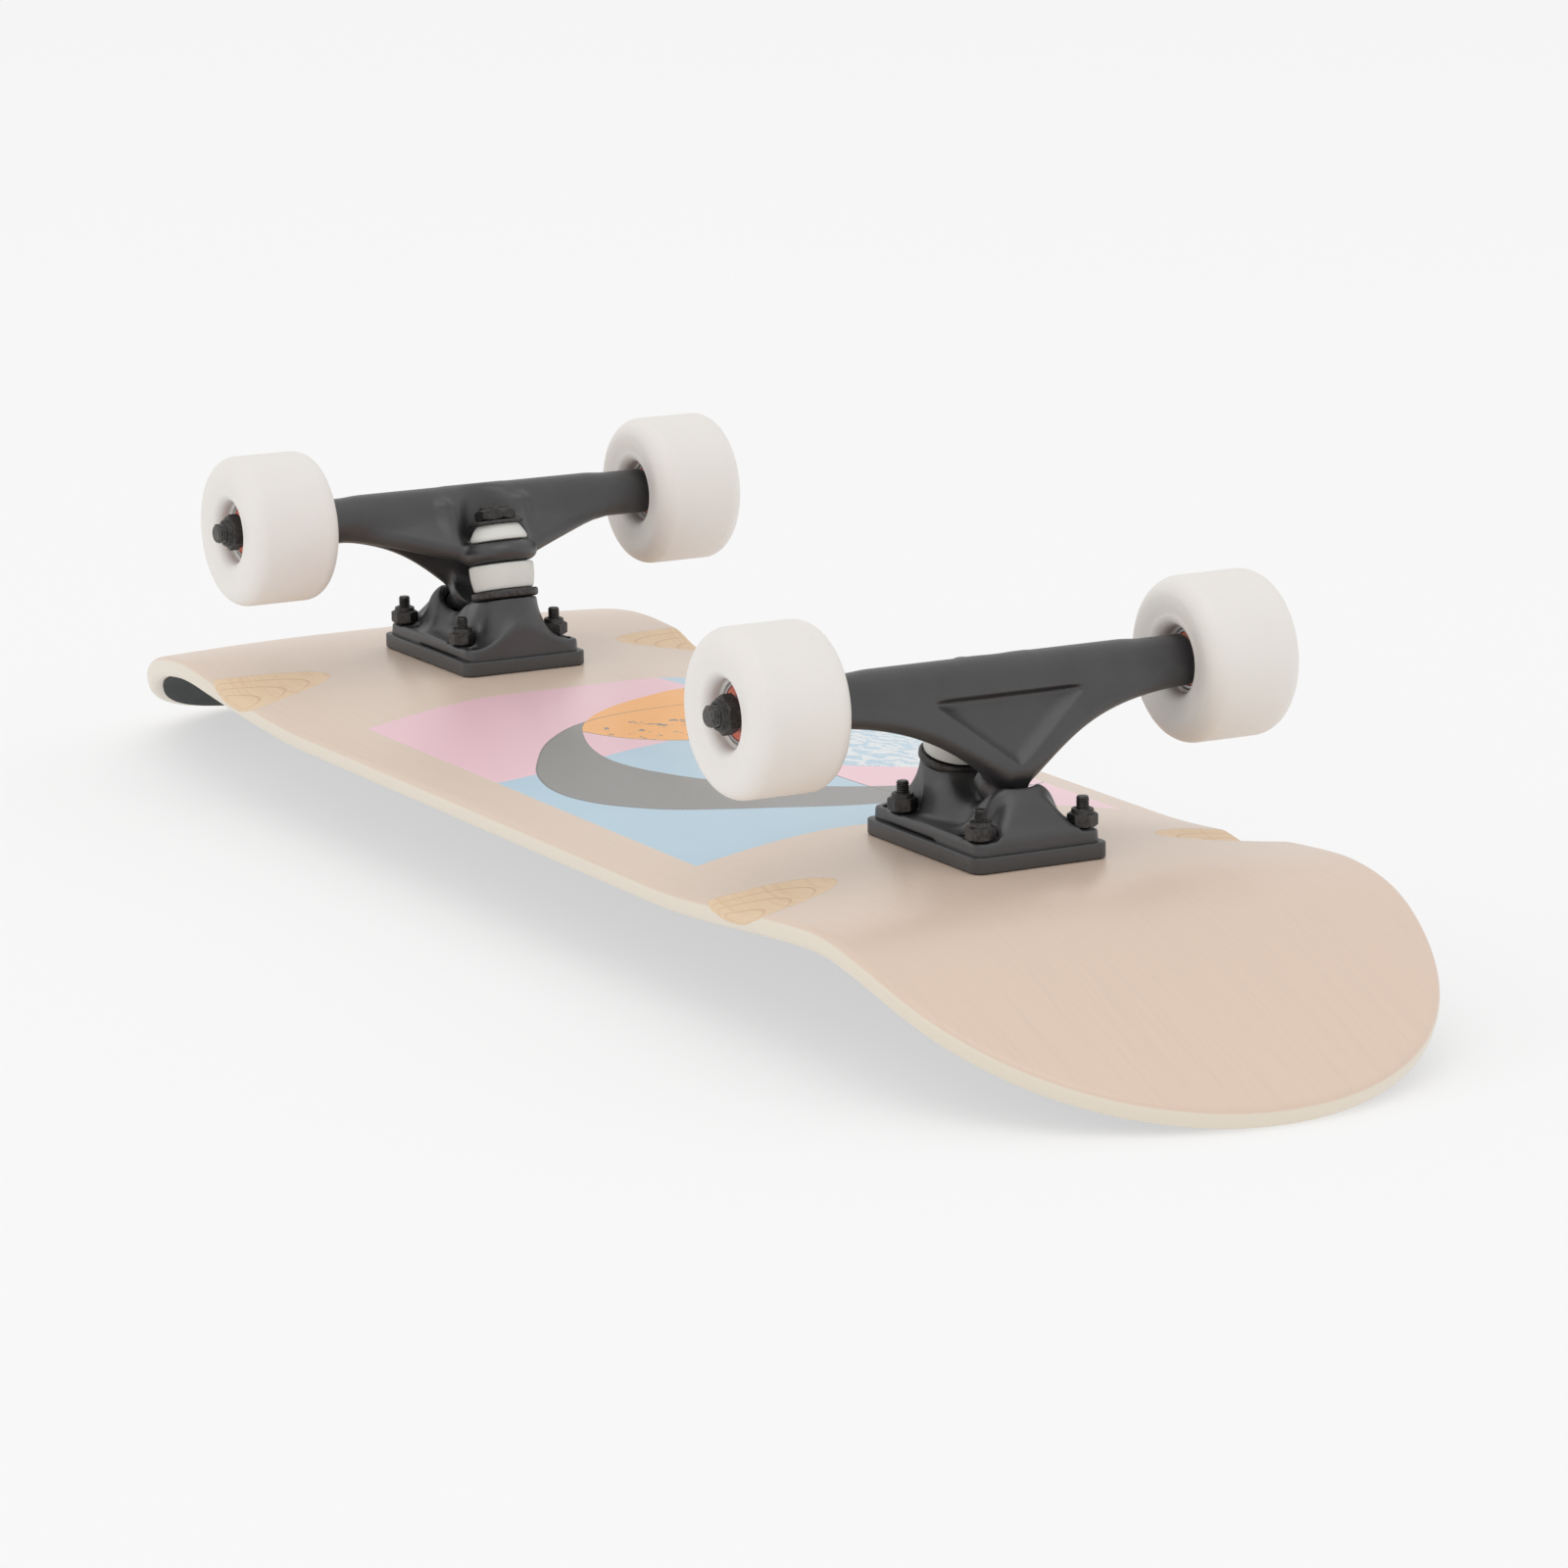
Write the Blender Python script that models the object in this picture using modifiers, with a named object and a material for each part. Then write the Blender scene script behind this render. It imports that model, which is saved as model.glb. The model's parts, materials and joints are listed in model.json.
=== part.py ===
"""Street skateboard, turned over and standing on the tips of its nose and tail, wheels up.

Metres, +Z up. X runs from the nose tip (-X) to the tail tip (+X), and Y across the deck. The
origin is on the floor, under the middle of the board's length and width. Each truck is built in
its own frame: its origin is on the flat of the deck under the middle of its riser pad, +X points
outboard, to the nearer tip, and +Z away from the deck. "left" is the -Y side and "right" the +Y side.
"""

import math

import bmesh
import bpy
from mathutils import Vector

# Space left between two pieces that touch on the real object.
GAP = 0.0003

# Where the trucks sit, and their bolt pattern.
TRUCK_SPACING = 0.4016
BOLT_SPACING_LONG = 0.054
BOLT_SPACING_WIDE = 0.0413
BOLT_PATTERN_OUTBOARD = 0.0045

# Deck outline, in plan. Tapers start at distances outboard of the middle of a truck.
DECK_WIDTH = 0.2159
NOSE_TAPER_PAST_TRUCK = -0.0038
NOSE_FULLNESS = 2.6
TAIL_TAPER_PAST_TRUCK = 0.0842
TAIL_FULLNESS = 2.1

# Deck section: thickness, rounded edge, side concave and the two kicks, whose tips drop alike.
# Each kick starts to bend outboard of its truck, and its length runs from there to the tip.
DECK_THICKNESS = 0.0085
DECK_EDGE_ROUND = 0.003
FLAT_HALF_WIDTH = 0.032
CONCAVE_DEPTH = 0.0114
KICK_CONCAVE_DEPTH = 0.0025
FADE_START_PAST_TRUCK = -0.0538
FADE_END_PAST_TRUCK = 0.0782
CONCAVE_POWER = 1.5
KICK_DROP = 0.0478
NOSE_BEND_PAST_TRUCK = 0.0519
NOSE_BEND_RADIUS = 0.2346
NOSE_KICK_LENGTH = 0.1581
TAIL_BEND_PAST_TRUCK = 0.0632
TAIL_BEND_RADIUS = 0.1297
TAIL_KICK_LENGTH = 0.1385

# Wheel wells: scoops in the deck, each a slanted cylinder.
WELL_TIP_OFFSET = 0.066
WELL_DEPTH = 0.0046
WELL_RADIUS = 0.054

# Grip tape, on the side that is ridden, which faces the floor here. Its wider gap leaves room for
# the two sheets' unlike facets.
GRIP_THICKNESS = 0.0005
GRIP_GAP = 0.0005
GRIP_INSET = 0.0055

# Riser pad and the plate of the baseplate.
RISER_LENGTH = 0.0791
RISER_WIDTH = 0.0542
RISER_THICKNESS = 0.0056
PLATE_LENGTH = 0.0755
PLATE_WIDTH = 0.0506
PLATE_THICKNESS = 0.0044
PLATE_CORNER = 0.004

# Deck bolts and their lock nuts.
BOLT_RADIUS = 0.0024
BOLT_HEAD_RADIUS = 0.0046
BOLT_HEAD_DEPTH = 0.0028
BOLT_TIP_ABOVE_NUT = 0.0043
LOCK_NUT_FLATS = 0.0095
LOCK_NUT_HEX_HEIGHT = 0.0048
LOCK_NUT_COLLAR_HEIGHT = 0.0016
LOCK_NUT_COLLAR_RADIUS = 0.0040

# Kingpin, leaning outboard, and what is threaded on it, measured along it from the boss's top.
KINGPIN_LEAN = math.radians(14)
BOSS_TOP_OFFSET = -0.0208
BOSS_ABOVE_PLATE = 0.016
BOSS_TOP_RADIUS = 0.0125
BOSS_FOOT_CORNER = 0.012
BOSS_FOOT_HALF_WIDTH = 0.0172
BOSS_FOOT_INBOARD = 0.0365
BOSS_FOOT_OUTBOARD = -0.008
KINGPIN_RADIUS = 0.00475
KINGPIN_HEAD_FLATS = 0.0143
KINGPIN_HEAD_HEIGHT = 0.0055
KINGPIN_HEAD_DEPTH = 0.0115
KINGPIN_TIP_ABOVE_NUT = 0.001
LOWER_WASHER_RADIUS = 0.0135
LOWER_WASHER_HEIGHT = 0.0033
LOWER_BUSHING_RADIUS = 0.0132
LOWER_BUSHING_WAIST = 0.0125
LOWER_BUSHING_HEIGHT = 0.0106
RING_RADIUS = 0.0155
RING_HOLE_RADIUS = 0.0078
RING_HEIGHT = 0.0086
UPPER_BUSHING_RADIUS = 0.0117
UPPER_BUSHING_TOP_RADIUS = 0.0090
UPPER_BUSHING_HEIGHT = 0.0066
UPPER_WASHER_RADIUS = 0.0110
UPPER_WASHER_HEIGHT = 0.0013
KINGPIN_NUT_FLATS = 0.0143
KINGPIN_NUT_HEIGHT = 0.0070
KINGPIN_NUT_COLLAR_HEIGHT = 0.0012
KINGPIN_NUT_COLLAR_RADIUS = 0.0062

# Pivot: the hanger's stem turns in a cup, on the steering axis that passes through the ring.
STEERING_SLOPE = math.radians(37)
MOUTH_DISTANCE = 0.0445
STEM_RADIUS = 0.0050
STEM_LENGTH = 0.0085
CUP_WALL = 0.0016
HOUSING_WALL = 0.0020
HOUSING_FOOT_HALF_WIDTH = 0.0165
HOUSING_FOOT_INBOARD = 0.006
HOUSING_FOOT_OUTBOARD = 0.0365
HOUSING_FOOT_CORNER = 0.008
HOUSING_TOE_SHARE = 0.6
NOSE_SPACE_LENGTH = 0.014

# Saddle between the boss and the housing, by its foot and its top.
SADDLE_FOOT_HALF_WIDTH = 0.013
SADDLE_FOOT_CORNER = 0.004
SADDLE_TOP_HALF_WIDTH = 0.007
SADDLE_TOP_CORNER = 0.003
SADDLE_TOP_INSET = 0.006
SADDLE_ABOVE_PLATE = 0.0045

# Hanger and axle. The tube narrows from its middle to its ends.
AXLE_OFFSET = 0.0072
AXLE_ABOVE_PLATE = 0.0494
AXLE_RADIUS = 0.0040
AXLE_TIP_PAST_NUT = 0.0035
HANGER_WIDTH = 0.155
HANGER_END_RADIUS = 0.0083
HANGER_END_HALF = 0.0558
HANGER_MIDDLE_RADIUS = 0.0092
HANGER_MIDDLE_HALF = 0.040
NUT_CLEARANCE = 0.0135
BUSHING_CLEARANCE = 0.0170

# Web under the hanger's tube. Drops and insets are from the axle, halves from the middle.
WEB_WIDE_HALF = 0.062
WEB_WIDE_DROP = 0.002
WEB_WIDE_OUTBOARD = 0.001
WEB_WIDE_INSET = 0.0015
WEB_MIDDLE_HALF = 0.034
WEB_MIDDLE_OUTBOARD = 0.0045
UPPER_WEB_DROP = 0.0135
UPPER_WEB_RADIUS = 0.0045
LOWER_WEB_DROP = 0.012
LOWER_WEB_RADIUS = 0.005
YOKE_HALF = 0.026
YOKE_INBOARD = 0.002
YOKE_DROP = 0.010
YOKE_RADIUS = 0.0065
YOKE_RING_INSET = 0.0006
YOKE_RING_SHARE = 0.9
STEM_FLARE = 0.0012
STEM_ROOT_FLARE = 0.0042
STEM_ROOT_LENGTH = 0.008
STEM_OVERLAP = 0.012

# Three-cornered pocket in the hanger's outboard face: its rim, then its smaller floor.
POCKET_DEPTH = 0.0035
POCKET_HALF_WIDTH = 0.029
POCKET_TOP_DROP = 0.0045
POCKET_CORNER = 0.002
POCKET_LOW_OUTBOARD = 0.0022
POCKET_LOW_RISE = 0.0172
POCKET_FLOOR_HALF_WIDTH = 0.023
POCKET_FLOOR_TOP_DROP = 0.0055
POCKET_FLOOR_CORNER = 0.001
POCKET_FLOOR_RISE = 0.003
POCKET_FACE_LEAN = 0.1
POCKET_STEPS = 8

# Wheels, with two bearings and a spacer each. Speed washers fit in the spaces beside the bearings.
WHEEL_RADIUS = 0.030
WHEEL_WIDTH = 0.0385
WHEEL_LIP_RADIUS = 0.0078
WHEEL_DISH_RADIUS = 0.018
WHEEL_DISH_DEPTH = 0.0030
WHEEL_FLARE_RADIUS = 0.0150
WHEEL_FLARE_DEPTH = 0.0009
WHEEL_OPENING_RADIUS = 0.0120
WHEEL_MOUTH_STEP = 0.0012
WHEEL_CORE_RADIUS = 0.0085
BEARING_RADIUS = 0.011
BEARING_BORE_RADIUS = 0.0043
BEARING_WIDTH = 0.007
BEARING_SPACING = 0.0165
BEARING_CHAMFER = 0.0004
SPACER_RADIUS = 0.0056
AXLE_NUT_FLATS = 0.0127
AXLE_NUT_HEX_HEIGHT = 0.0050
AXLE_NUT_COLLAR_HEIGHT = 0.0018
AXLE_NUT_COLLAR_RADIUS = 0.0053
INNER_WASHER_SPACE = 0.0015
OUTER_WASHER_SPACE = 0.0014

# Facets of round pieces.
ROUND_STEPS = 24
SMALL_STEPS = 12
MEDIUM_STEPS = 16
WELL_STEPS = 96

# Small chamfers: the tips of bolts, kingpins and axles, and the rims of lock nut collars.
TIP_CHAMFER = 0.0008
COLLAR_CHAMFER = 0.0006
WASHER_CHAMFER = 0.0003
CUP_WASHER_CHAMFER = 0.0008

# How far a cutter runs past what it cuts.
OVERSHOOT = 0.002
FAR_OVERSHOOT = 0.03

HALF_WIDTH = DECK_WIDTH / 2
SIDES = {"left": -1, "right": 1}

# Distances from the middle of the two trucks.
HALF_SPACING = TRUCK_SPACING / 2
NOSE_TAPER_START = HALF_SPACING + NOSE_TAPER_PAST_TRUCK
TAIL_TAPER_START = HALF_SPACING + TAIL_TAPER_PAST_TRUCK
CONCAVE_FADE_START = HALF_SPACING + FADE_START_PAST_TRUCK
CONCAVE_FADE_END = HALF_SPACING + FADE_END_PAST_TRUCK
NOSE_BEND_START = HALF_SPACING + NOSE_BEND_PAST_TRUCK
TAIL_BEND_START = HALF_SPACING + TAIL_BEND_PAST_TRUCK
NOSE_REACH = NOSE_BEND_START + NOSE_KICK_LENGTH
TAIL_REACH = TAIL_BEND_START + TAIL_KICK_LENGTH


def kick_angle(bend_start, bend_radius, reach):
    """Angle of a kick whose arc, then straight run, drops KICK_DROP between its bend and its tip."""
    run = reach - bend_start
    root = math.sqrt(run * run - 2 * bend_radius * KICK_DROP + KICK_DROP * KICK_DROP)
    return 2 * math.atan(KICK_DROP / (run + root))


NOSE_ANGLE = kick_angle(NOSE_BEND_START, NOSE_BEND_RADIUS, NOSE_REACH)
TAIL_ANGLE = kick_angle(TAIL_BEND_START, TAIL_BEND_RADIUS, TAIL_REACH)


def tip_below_flat(angle):
    """How far the lowest point of a tip's rounded edge lies below the flat of the deck."""
    r = DECK_EDGE_ROUND
    return KICK_DROP - r * math.sin(angle) + (DECK_THICKNESS - r) * math.cos(angle) + r


DECK_Z = max(tip_below_flat(NOSE_ANGLE), tip_below_flat(TAIL_ANGLE))
TRUCK_MIDDLE_X = (NOSE_REACH - TAIL_REACH) / 2

# Heights of the stack over one corner of a truck, from the flat of the deck.
RISER_BOTTOM = GAP
PLATE_BOTTOM = RISER_BOTTOM + RISER_THICKNESS + GAP
PLATE_TOP = PLATE_BOTTOM + PLATE_THICKNESS
LOCK_NUT_BOTTOM = PLATE_TOP + GAP
BOLT_TIP = LOCK_NUT_BOTTOM + LOCK_NUT_HEX_HEIGHT + LOCK_NUT_COLLAR_HEIGHT + BOLT_TIP_ABOVE_NUT
BOLT_HEAD_BOTTOM = -DECK_THICKNESS - GRIP_GAP - GRIP_THICKNESS
AXLE_HEIGHT = PLATE_TOP + AXLE_ABOVE_PLATE

# Places along the kingpin, from the top of the boss.
LOWER_WASHER_AT = GAP
LOWER_BUSHING_AT = LOWER_WASHER_AT + LOWER_WASHER_HEIGHT + GAP
RING_AT = LOWER_BUSHING_AT + LOWER_BUSHING_HEIGHT + GAP
UPPER_BUSHING_AT = RING_AT + RING_HEIGHT + GAP
UPPER_WASHER_AT = UPPER_BUSHING_AT + UPPER_BUSHING_HEIGHT + GAP
KINGPIN_NUT_AT = UPPER_WASHER_AT + UPPER_WASHER_HEIGHT + GAP
KINGPIN_TIP_AT = KINGPIN_NUT_AT + KINGPIN_NUT_HEIGHT + KINGPIN_NUT_COLLAR_HEIGHT + KINGPIN_TIP_ABOVE_NUT

KINGPIN_AXIS = Vector((math.sin(KINGPIN_LEAN), 0, math.cos(KINGPIN_LEAN)))
BOSS_TOP = Vector((BOSS_TOP_OFFSET, 0, PLATE_TOP + BOSS_ABOVE_PLATE))
RING_CENTRE = BOSS_TOP + KINGPIN_AXIS * (RING_AT + RING_HEIGHT / 2)
# From the ring, down and outboard to the pivot.
STEERING_AXIS = Vector((math.cos(STEERING_SLOPE), 0, -math.sin(STEERING_SLOPE)))
MOUTH_CENTRE = RING_CENTRE + STEERING_AXIS * MOUTH_DISTANCE
CUP_INNER_RADIUS = STEM_RADIUS + GAP
CUP_RADIUS = CUP_INNER_RADIUS + CUP_WALL
CUP_DEPTH = STEM_LENGTH + GAP + CUP_WALL
HOUSING_RADIUS = CUP_RADIUS + GAP + HOUSING_WALL
HOUSING_DEPTH = CUP_DEPTH + GAP + HOUSING_WALL
WHEEL_SEAT_RADIUS = BEARING_RADIUS + GAP

# Places along the axle, from the middle of the hanger.
WHEEL_OFFSET = HANGER_WIDTH / 2 + INNER_WASHER_SPACE + (BEARING_WIDTH + BEARING_SPACING) / 2
AXLE_NUT_AT = WHEEL_OFFSET + (BEARING_SPACING + BEARING_WIDTH) / 2 + OUTER_WASHER_SPACE
AXLE_HALF = AXLE_NUT_AT + AXLE_NUT_HEX_HEIGHT + AXLE_NUT_COLLAR_HEIGHT + AXLE_TIP_PAST_NUT


def clear_scene():
    for obj in list(bpy.data.objects):
        bpy.data.objects.remove(obj, do_unlink=True)
    for collection in list(bpy.data.collections):
        bpy.data.collections.remove(collection)


def make_collection(name, parent=None):
    collection = bpy.data.collections.new(name)
    (parent or bpy.context.scene.collection).children.link(collection)
    return collection


def make_material(name, colour, roughness, metallic=0.0):
    material = bpy.data.materials.new(name)
    material.use_nodes = True
    shader = material.node_tree.nodes["Principled BSDF"]
    shader.inputs["Base Color"].default_value = (*colour, 1)
    shader.inputs["Roughness"].default_value = roughness
    shader.inputs["Metallic"].default_value = metallic
    return material


def make_object(name, mesh, collection, parent=None, location=(0, 0, 0), direction=None):
    """An object in a collection, with its local Z turned to a direction."""
    obj = bpy.data.objects.new(name, mesh)
    collection.objects.link(obj)
    obj.parent = parent
    obj.location = location
    if direction is not None:
        obj.rotation_mode = "QUATERNION"
        obj.rotation_quaternion = Vector((0, 0, 1)).rotation_difference(Vector(direction))
    if collection.name != "skateboard":
        obj.hide_render = True
        obj.display_type = "WIRE"
    return obj


def finish(obj, material, sharp_angle=math.radians(35)):
    """Gives the piece its material and smooth shading that stops at sharp edges."""
    obj.data.materials.clear()
    obj.data.materials.append(material)
    obj.data.shade_smooth()
    obj.data.set_sharp_from_angle(angle=sharp_angle)
    return obj


def turned(name, profile, collection, steps=ROUND_STEPS, **place):
    """A profile of (radius, height) points, top to bottom on its outer side, turned about local Z.

    A profile that doesn't start on the axis is closed into a ring."""
    mesh = bpy.data.meshes.new(name)
    edges = [(i, i + 1) for i in range(len(profile) - 1)]
    if profile[0][0] > 0:
        edges.append((len(profile) - 1, 0))
    mesh.from_pydata([(radius, 0, height) for radius, height in profile], edges, [])
    obj = make_object(name, mesh, collection, **place)
    screw = obj.modifiers.new("turn", "SCREW")
    screw.axis = "Z"
    screw.steps = screw.render_steps = steps
    screw.use_merge_vertices = True
    screw.merge_threshold = 1e-6
    screw.use_smooth_shade = True
    return obj


def rod(radius, low, high):
    return [(0, high), (radius, high), (radius, low), (0, low)]


def ring(inner, outer, low, high, edge=0.0):
    """Section of a ring whose outer edges have a small chamfer."""
    if not edge:
        return [(inner, high), (outer, high), (outer, low), (inner, low)]
    chamfered = [(outer - edge, high), (outer, high - edge), (outer, low + edge), (outer - edge, low)]
    return [(inner, high), *chamfered, (inner, low)]


def arc(centre, radius, start, end, count):
    """Points on an arc, its angles in degrees from the first axis."""
    angles = [math.radians(start + (end - start) * i / count) for i in range(count + 1)]
    return [(centre[0] + radius * math.cos(a), centre[1] + radius * math.sin(a)) for a in angles]


def prism(name, flats, low, high, collection, **place):
    """A hexagonal prism along local Z, by its width across flats."""
    mesh = bpy.data.meshes.new(name)
    bm = bmesh.new()
    radius = flats / math.sqrt(3)
    bmesh.ops.create_cone(
        bm, cap_ends=True, segments=6, radius1=radius, radius2=radius, depth=high - low
    )
    bmesh.ops.translate(bm, verts=bm.verts, vec=(0, 0, (low + high) / 2))
    bm.to_mesh(mesh)
    bm.free()
    return make_object(name, mesh, collection, **place)


def hull(name, points, collection, **place):
    """The convex solid around a set of points."""
    mesh = bpy.data.meshes.new(name)
    bm = bmesh.new()
    for point in points:
        bm.verts.new(point)
    result = bmesh.ops.convex_hull(bm, input=bm.verts)
    spare = result["geom_interior"] + result["geom_unused"]
    inside = {element for element in spare if isinstance(element, bmesh.types.BMVert)}
    bmesh.ops.delete(bm, geom=list(inside), context="VERTS")
    bmesh.ops.recalc_face_normals(bm, faces=bm.faces)
    bm.to_mesh(mesh)
    bm.free()
    return make_object(name, mesh, collection, **place)


def disc(centre, axis, radius, steps=SMALL_STEPS):
    """Points around a circle with the given centre and axis, as seed points of a hull."""
    turn = Vector((0, 0, 1)).rotation_difference(Vector(axis))
    angles = [2 * math.pi * i / steps for i in range(steps)]
    return [Vector(centre) + turn @ Vector((math.cos(a), math.sin(a), 0)) * radius for a in angles]


def slab_outline(x_low, x_high, half_width, corner, height, arc_count=3):
    """Points of a rectangle with round corners, centred on the X axis, at one height."""
    points = []
    for sign_x, sign_y, start in ((1, 1, 0), (-1, 1, 90), (-1, -1, 180), (1, -1, 270)):
        x = (x_high if sign_x > 0 else x_low) - sign_x * corner
        centre = (x, sign_y * (half_width - corner))
        points += [(*p, height) for p in arc(centre, corner, start, start + 90, arc_count)]
    return points


def boolean(obj, operation, operands):
    """Joins or cuts a whole collection of operands."""
    modifier = obj.modifiers.new(operation.lower(), "BOOLEAN")
    modifier.operation = operation
    modifier.operand_type = "COLLECTION"
    modifier.collection = operands
    modifier.solver = "EXACT"


# ---------------------------------------------------------------------------------------- deck


def smooth_step(value, start, end):
    t = min(max((value - start) / (end - start), 0), 1)
    return t * t * (3 - 2 * t)


def kick_drop(distance, bend_start, bend_radius, angle):
    """Drop of a kick at a distance from the trucks' middle: an arc, then a straight run."""
    run = max(distance - bend_start, 0)
    arc_run = bend_radius * math.sin(angle)
    if run < arc_run:
        return bend_radius - math.sqrt(bend_radius * bend_radius - run * run)
    return bend_radius * (1 - math.cos(angle)) + (run - arc_run) * math.tan(angle)


def concave_drop(along, across):
    """Drop of the deck's sides: none over the flat, then a curve that fades into the kicks."""
    fade = smooth_step(abs(along), CONCAVE_FADE_START, CONCAVE_FADE_END)
    depth = CONCAVE_DEPTH + (KICK_CONCAVE_DEPTH - CONCAVE_DEPTH) * fade
    share = max(abs(across) - FLAT_HALF_WIDTH, 0) / (HALF_WIDTH - FLAT_HALF_WIDTH)
    return depth * share**CONCAVE_POWER


def deck_height(along, across):
    """Height of the face that the trucks are bolted to, over the floor."""
    nose = kick_drop(-along, NOSE_BEND_START, NOSE_BEND_RADIUS, NOSE_ANGLE)
    tail = kick_drop(along, TAIL_BEND_START, TAIL_BEND_RADIUS, TAIL_ANGLE)
    return DECK_Z - nose - tail - concave_drop(along, across)


def tip_point(p, s, length, half_width, fullness):
    """Maps a half square (p from 0 to 1 to the tip, s from -1 to 1 across) onto half a superellipse."""
    size = max(p, abs(s))
    if size == 0:
        return 0.0, 0.0
    angle = math.pi / 4 * (abs(s) / p if p >= abs(s) else 2 - p / abs(s))
    reach = length * size * max(math.cos(angle), 0) ** (2 / fullness)
    across = half_width * size * math.sin(angle) ** (2 / fullness)
    return reach, math.copysign(across, s)


def deck_sheet(name, collection, inset, tail_cells, middle_cells, nose_cells, side_cells):
    """The deck's upper face as an open grid whose rows run across, inset from the outline."""
    half_width = HALF_WIDTH - inset
    flat = FLAT_HALF_WIDTH / half_width
    lanes = [0.0, flat / 2] + [flat + (1 - flat) * i / side_cells for i in range(side_cells + 1)]
    lanes = [-s for s in reversed(lanes[1:])] + lanes
    tail = TAIL_REACH - inset - TAIL_TAPER_START
    nose = NOSE_REACH - inset - NOSE_TAPER_START

    rows = []
    for i in range(nose_cells, 0, -1):
        row = [tip_point(i / nose_cells, s, nose, half_width, NOSE_FULLNESS) for s in lanes]
        rows.append([(-NOSE_TAPER_START - along, across) for along, across in row])
    for i in range(middle_cells + 1):
        along = -NOSE_TAPER_START + (TAIL_TAPER_START + NOSE_TAPER_START) * i / middle_cells
        rows.append([(along, s * half_width) for s in lanes])
    for i in range(1, tail_cells + 1):
        row = [tip_point(i / tail_cells, s, tail, half_width, TAIL_FULLNESS) for s in lanes]
        rows.append([(TAIL_TAPER_START + along, across) for along, across in row])

    mesh = bpy.data.meshes.new(name)
    bm = bmesh.new()
    grid = bmesh.ops.create_grid(bm, x_segments=len(rows) - 1, y_segments=len(lanes) - 1, size=1)
    for vertex in grid["verts"]:
        row = round((vertex.co.x + 1) / 2 * (len(rows) - 1))
        lane = round((vertex.co.y + 1) / 2 * (len(lanes) - 1))
        along, across = rows[row][lane]
        vertex.co = (along + TRUCK_MIDDLE_X, across, deck_height(along, across))
    bm.to_mesh(mesh)
    bm.free()
    return make_object(name, mesh, collection)


def thicken(obj, thickness, offset=-1):
    solidify = obj.modifiers.new("thickness", "SOLIDIFY")
    solidify.thickness = thickness
    solidify.offset = offset
    solidify.use_even_offset = True


def make_deck(parts, cuts, material):
    deck = deck_sheet("deck", parts, 0, tail_cells=8, middle_cells=12, nose_cells=11, side_cells=4)
    thicken(deck, DECK_THICKNESS)
    edge = deck.modifiers.new("rounded edge", "BEVEL")
    edge.width = DECK_EDGE_ROUND
    edge.segments = 2
    edge.limit_method = "ANGLE"
    edge.angle_limit = math.radians(60)
    boolean(deck, "DIFFERENCE", cuts)
    return finish(deck, material)


def make_wells(cuts):
    """Each well is a wide cylinder over the axle, slanted so that it cuts deeper to the edge."""
    for truck_side in (-1, 1):
        axle_x = truck_side * (HALF_SPACING + AXLE_OFFSET)
        for side in (-1, 1):
            tip = Vector((axle_x, side * WELL_TIP_OFFSET, deck_height(axle_x, WELL_TIP_OFFSET)))
            edge_z = deck_height(axle_x, HALF_WIDTH) - WELL_DEPTH
            edge = Vector((axle_x, side * HALF_WIDTH, edge_z))
            along = (edge - tip).normalized()
            up = Vector((1, 0, 0)).cross(along) * side
            centre = (tip + edge) / 2 + up * WELL_RADIUS + Vector((TRUCK_MIDDLE_X, 0, 0))
            half = WELL_RADIUS * 1.5
            name = f"well_cut_{truck_side}_{side}"
            turned(name, rod(WELL_RADIUS, -half, half), cuts, WELL_STEPS, location=centre, direction=along)


def make_grip(parts, cuts, material):
    """The sheet on the ridden side: the deck's face, moved by the deck's thickness and a gap."""
    grip = deck_sheet(
        "grip_tape", parts, GRIP_INSET, tail_cells=8, middle_cells=12, nose_cells=11, side_cells=4
    )
    shift = grip.modifiers.new("ridden side", "DISPLACE")
    shift.direction = "NORMAL"
    shift.mid_level = 0
    shift.strength = -(DECK_THICKNESS + GRIP_GAP)
    thicken(grip, GRIP_THICKNESS)
    boolean(grip, "DIFFERENCE", cuts)
    return finish(grip, material)


# --------------------------------------------------------------------------------------- truck


def bolt_places():
    """The four bolts of a truck, in its own frame."""
    places = []
    for along in (-1, 1):
        for across in (-1, 1):
            x = BOLT_PATTERN_OUTBOARD + along * BOLT_SPACING_LONG / 2
            places.append((x, across * BOLT_SPACING_WIDE / 2))
    return places


def bolt_profile(extra):
    """Countersunk bolt from its tip down to its head, grown by a clearance."""
    shank = BOLT_RADIUS + extra
    head = BOLT_HEAD_RADIUS + extra
    tip = BOLT_TIP + extra
    neck = BOLT_HEAD_BOTTOM + BOLT_HEAD_DEPTH + extra
    bottom = BOLT_HEAD_BOTTOM - extra
    end = [(0, tip), (shank - TIP_CHAMFER / 2, tip), (shank, tip - TIP_CHAMFER / 2)]
    return [*end, (shank, neck), (head, bottom), (0, bottom)]


def make_hex_nut(name, place, parts, extras, material, flats, heights, collar_radius, bore):
    """A lock nut: hexagonal, with a round collar on top, bored through."""
    hex_height, collar_height = heights
    nut = prism(name, flats, 0, hex_height, parts, **place)
    top = hex_height + collar_height
    joins = make_collection(f"{name}_joins", extras)
    rim = collar_radius - COLLAR_CHAMFER
    collar = [(0, top), (rim, top), (collar_radius, top - COLLAR_CHAMFER)]
    collar += [(collar_radius, hex_height / 2), (0, hex_height / 2)]
    turned(f"{name}_collar", collar, joins, SMALL_STEPS, **place)
    boolean(nut, "UNION", joins)
    cuts = make_collection(f"{name}_cuts", extras)
    turned(f"{name}_bore", rod(bore, -OVERSHOOT, top + OVERSHOOT), cuts, SMALL_STEPS, **place)
    boolean(nut, "DIFFERENCE", cuts)
    return finish(nut, material)


def along_kingpin(distance):
    return BOSS_TOP + KINGPIN_AXIS * distance


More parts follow.
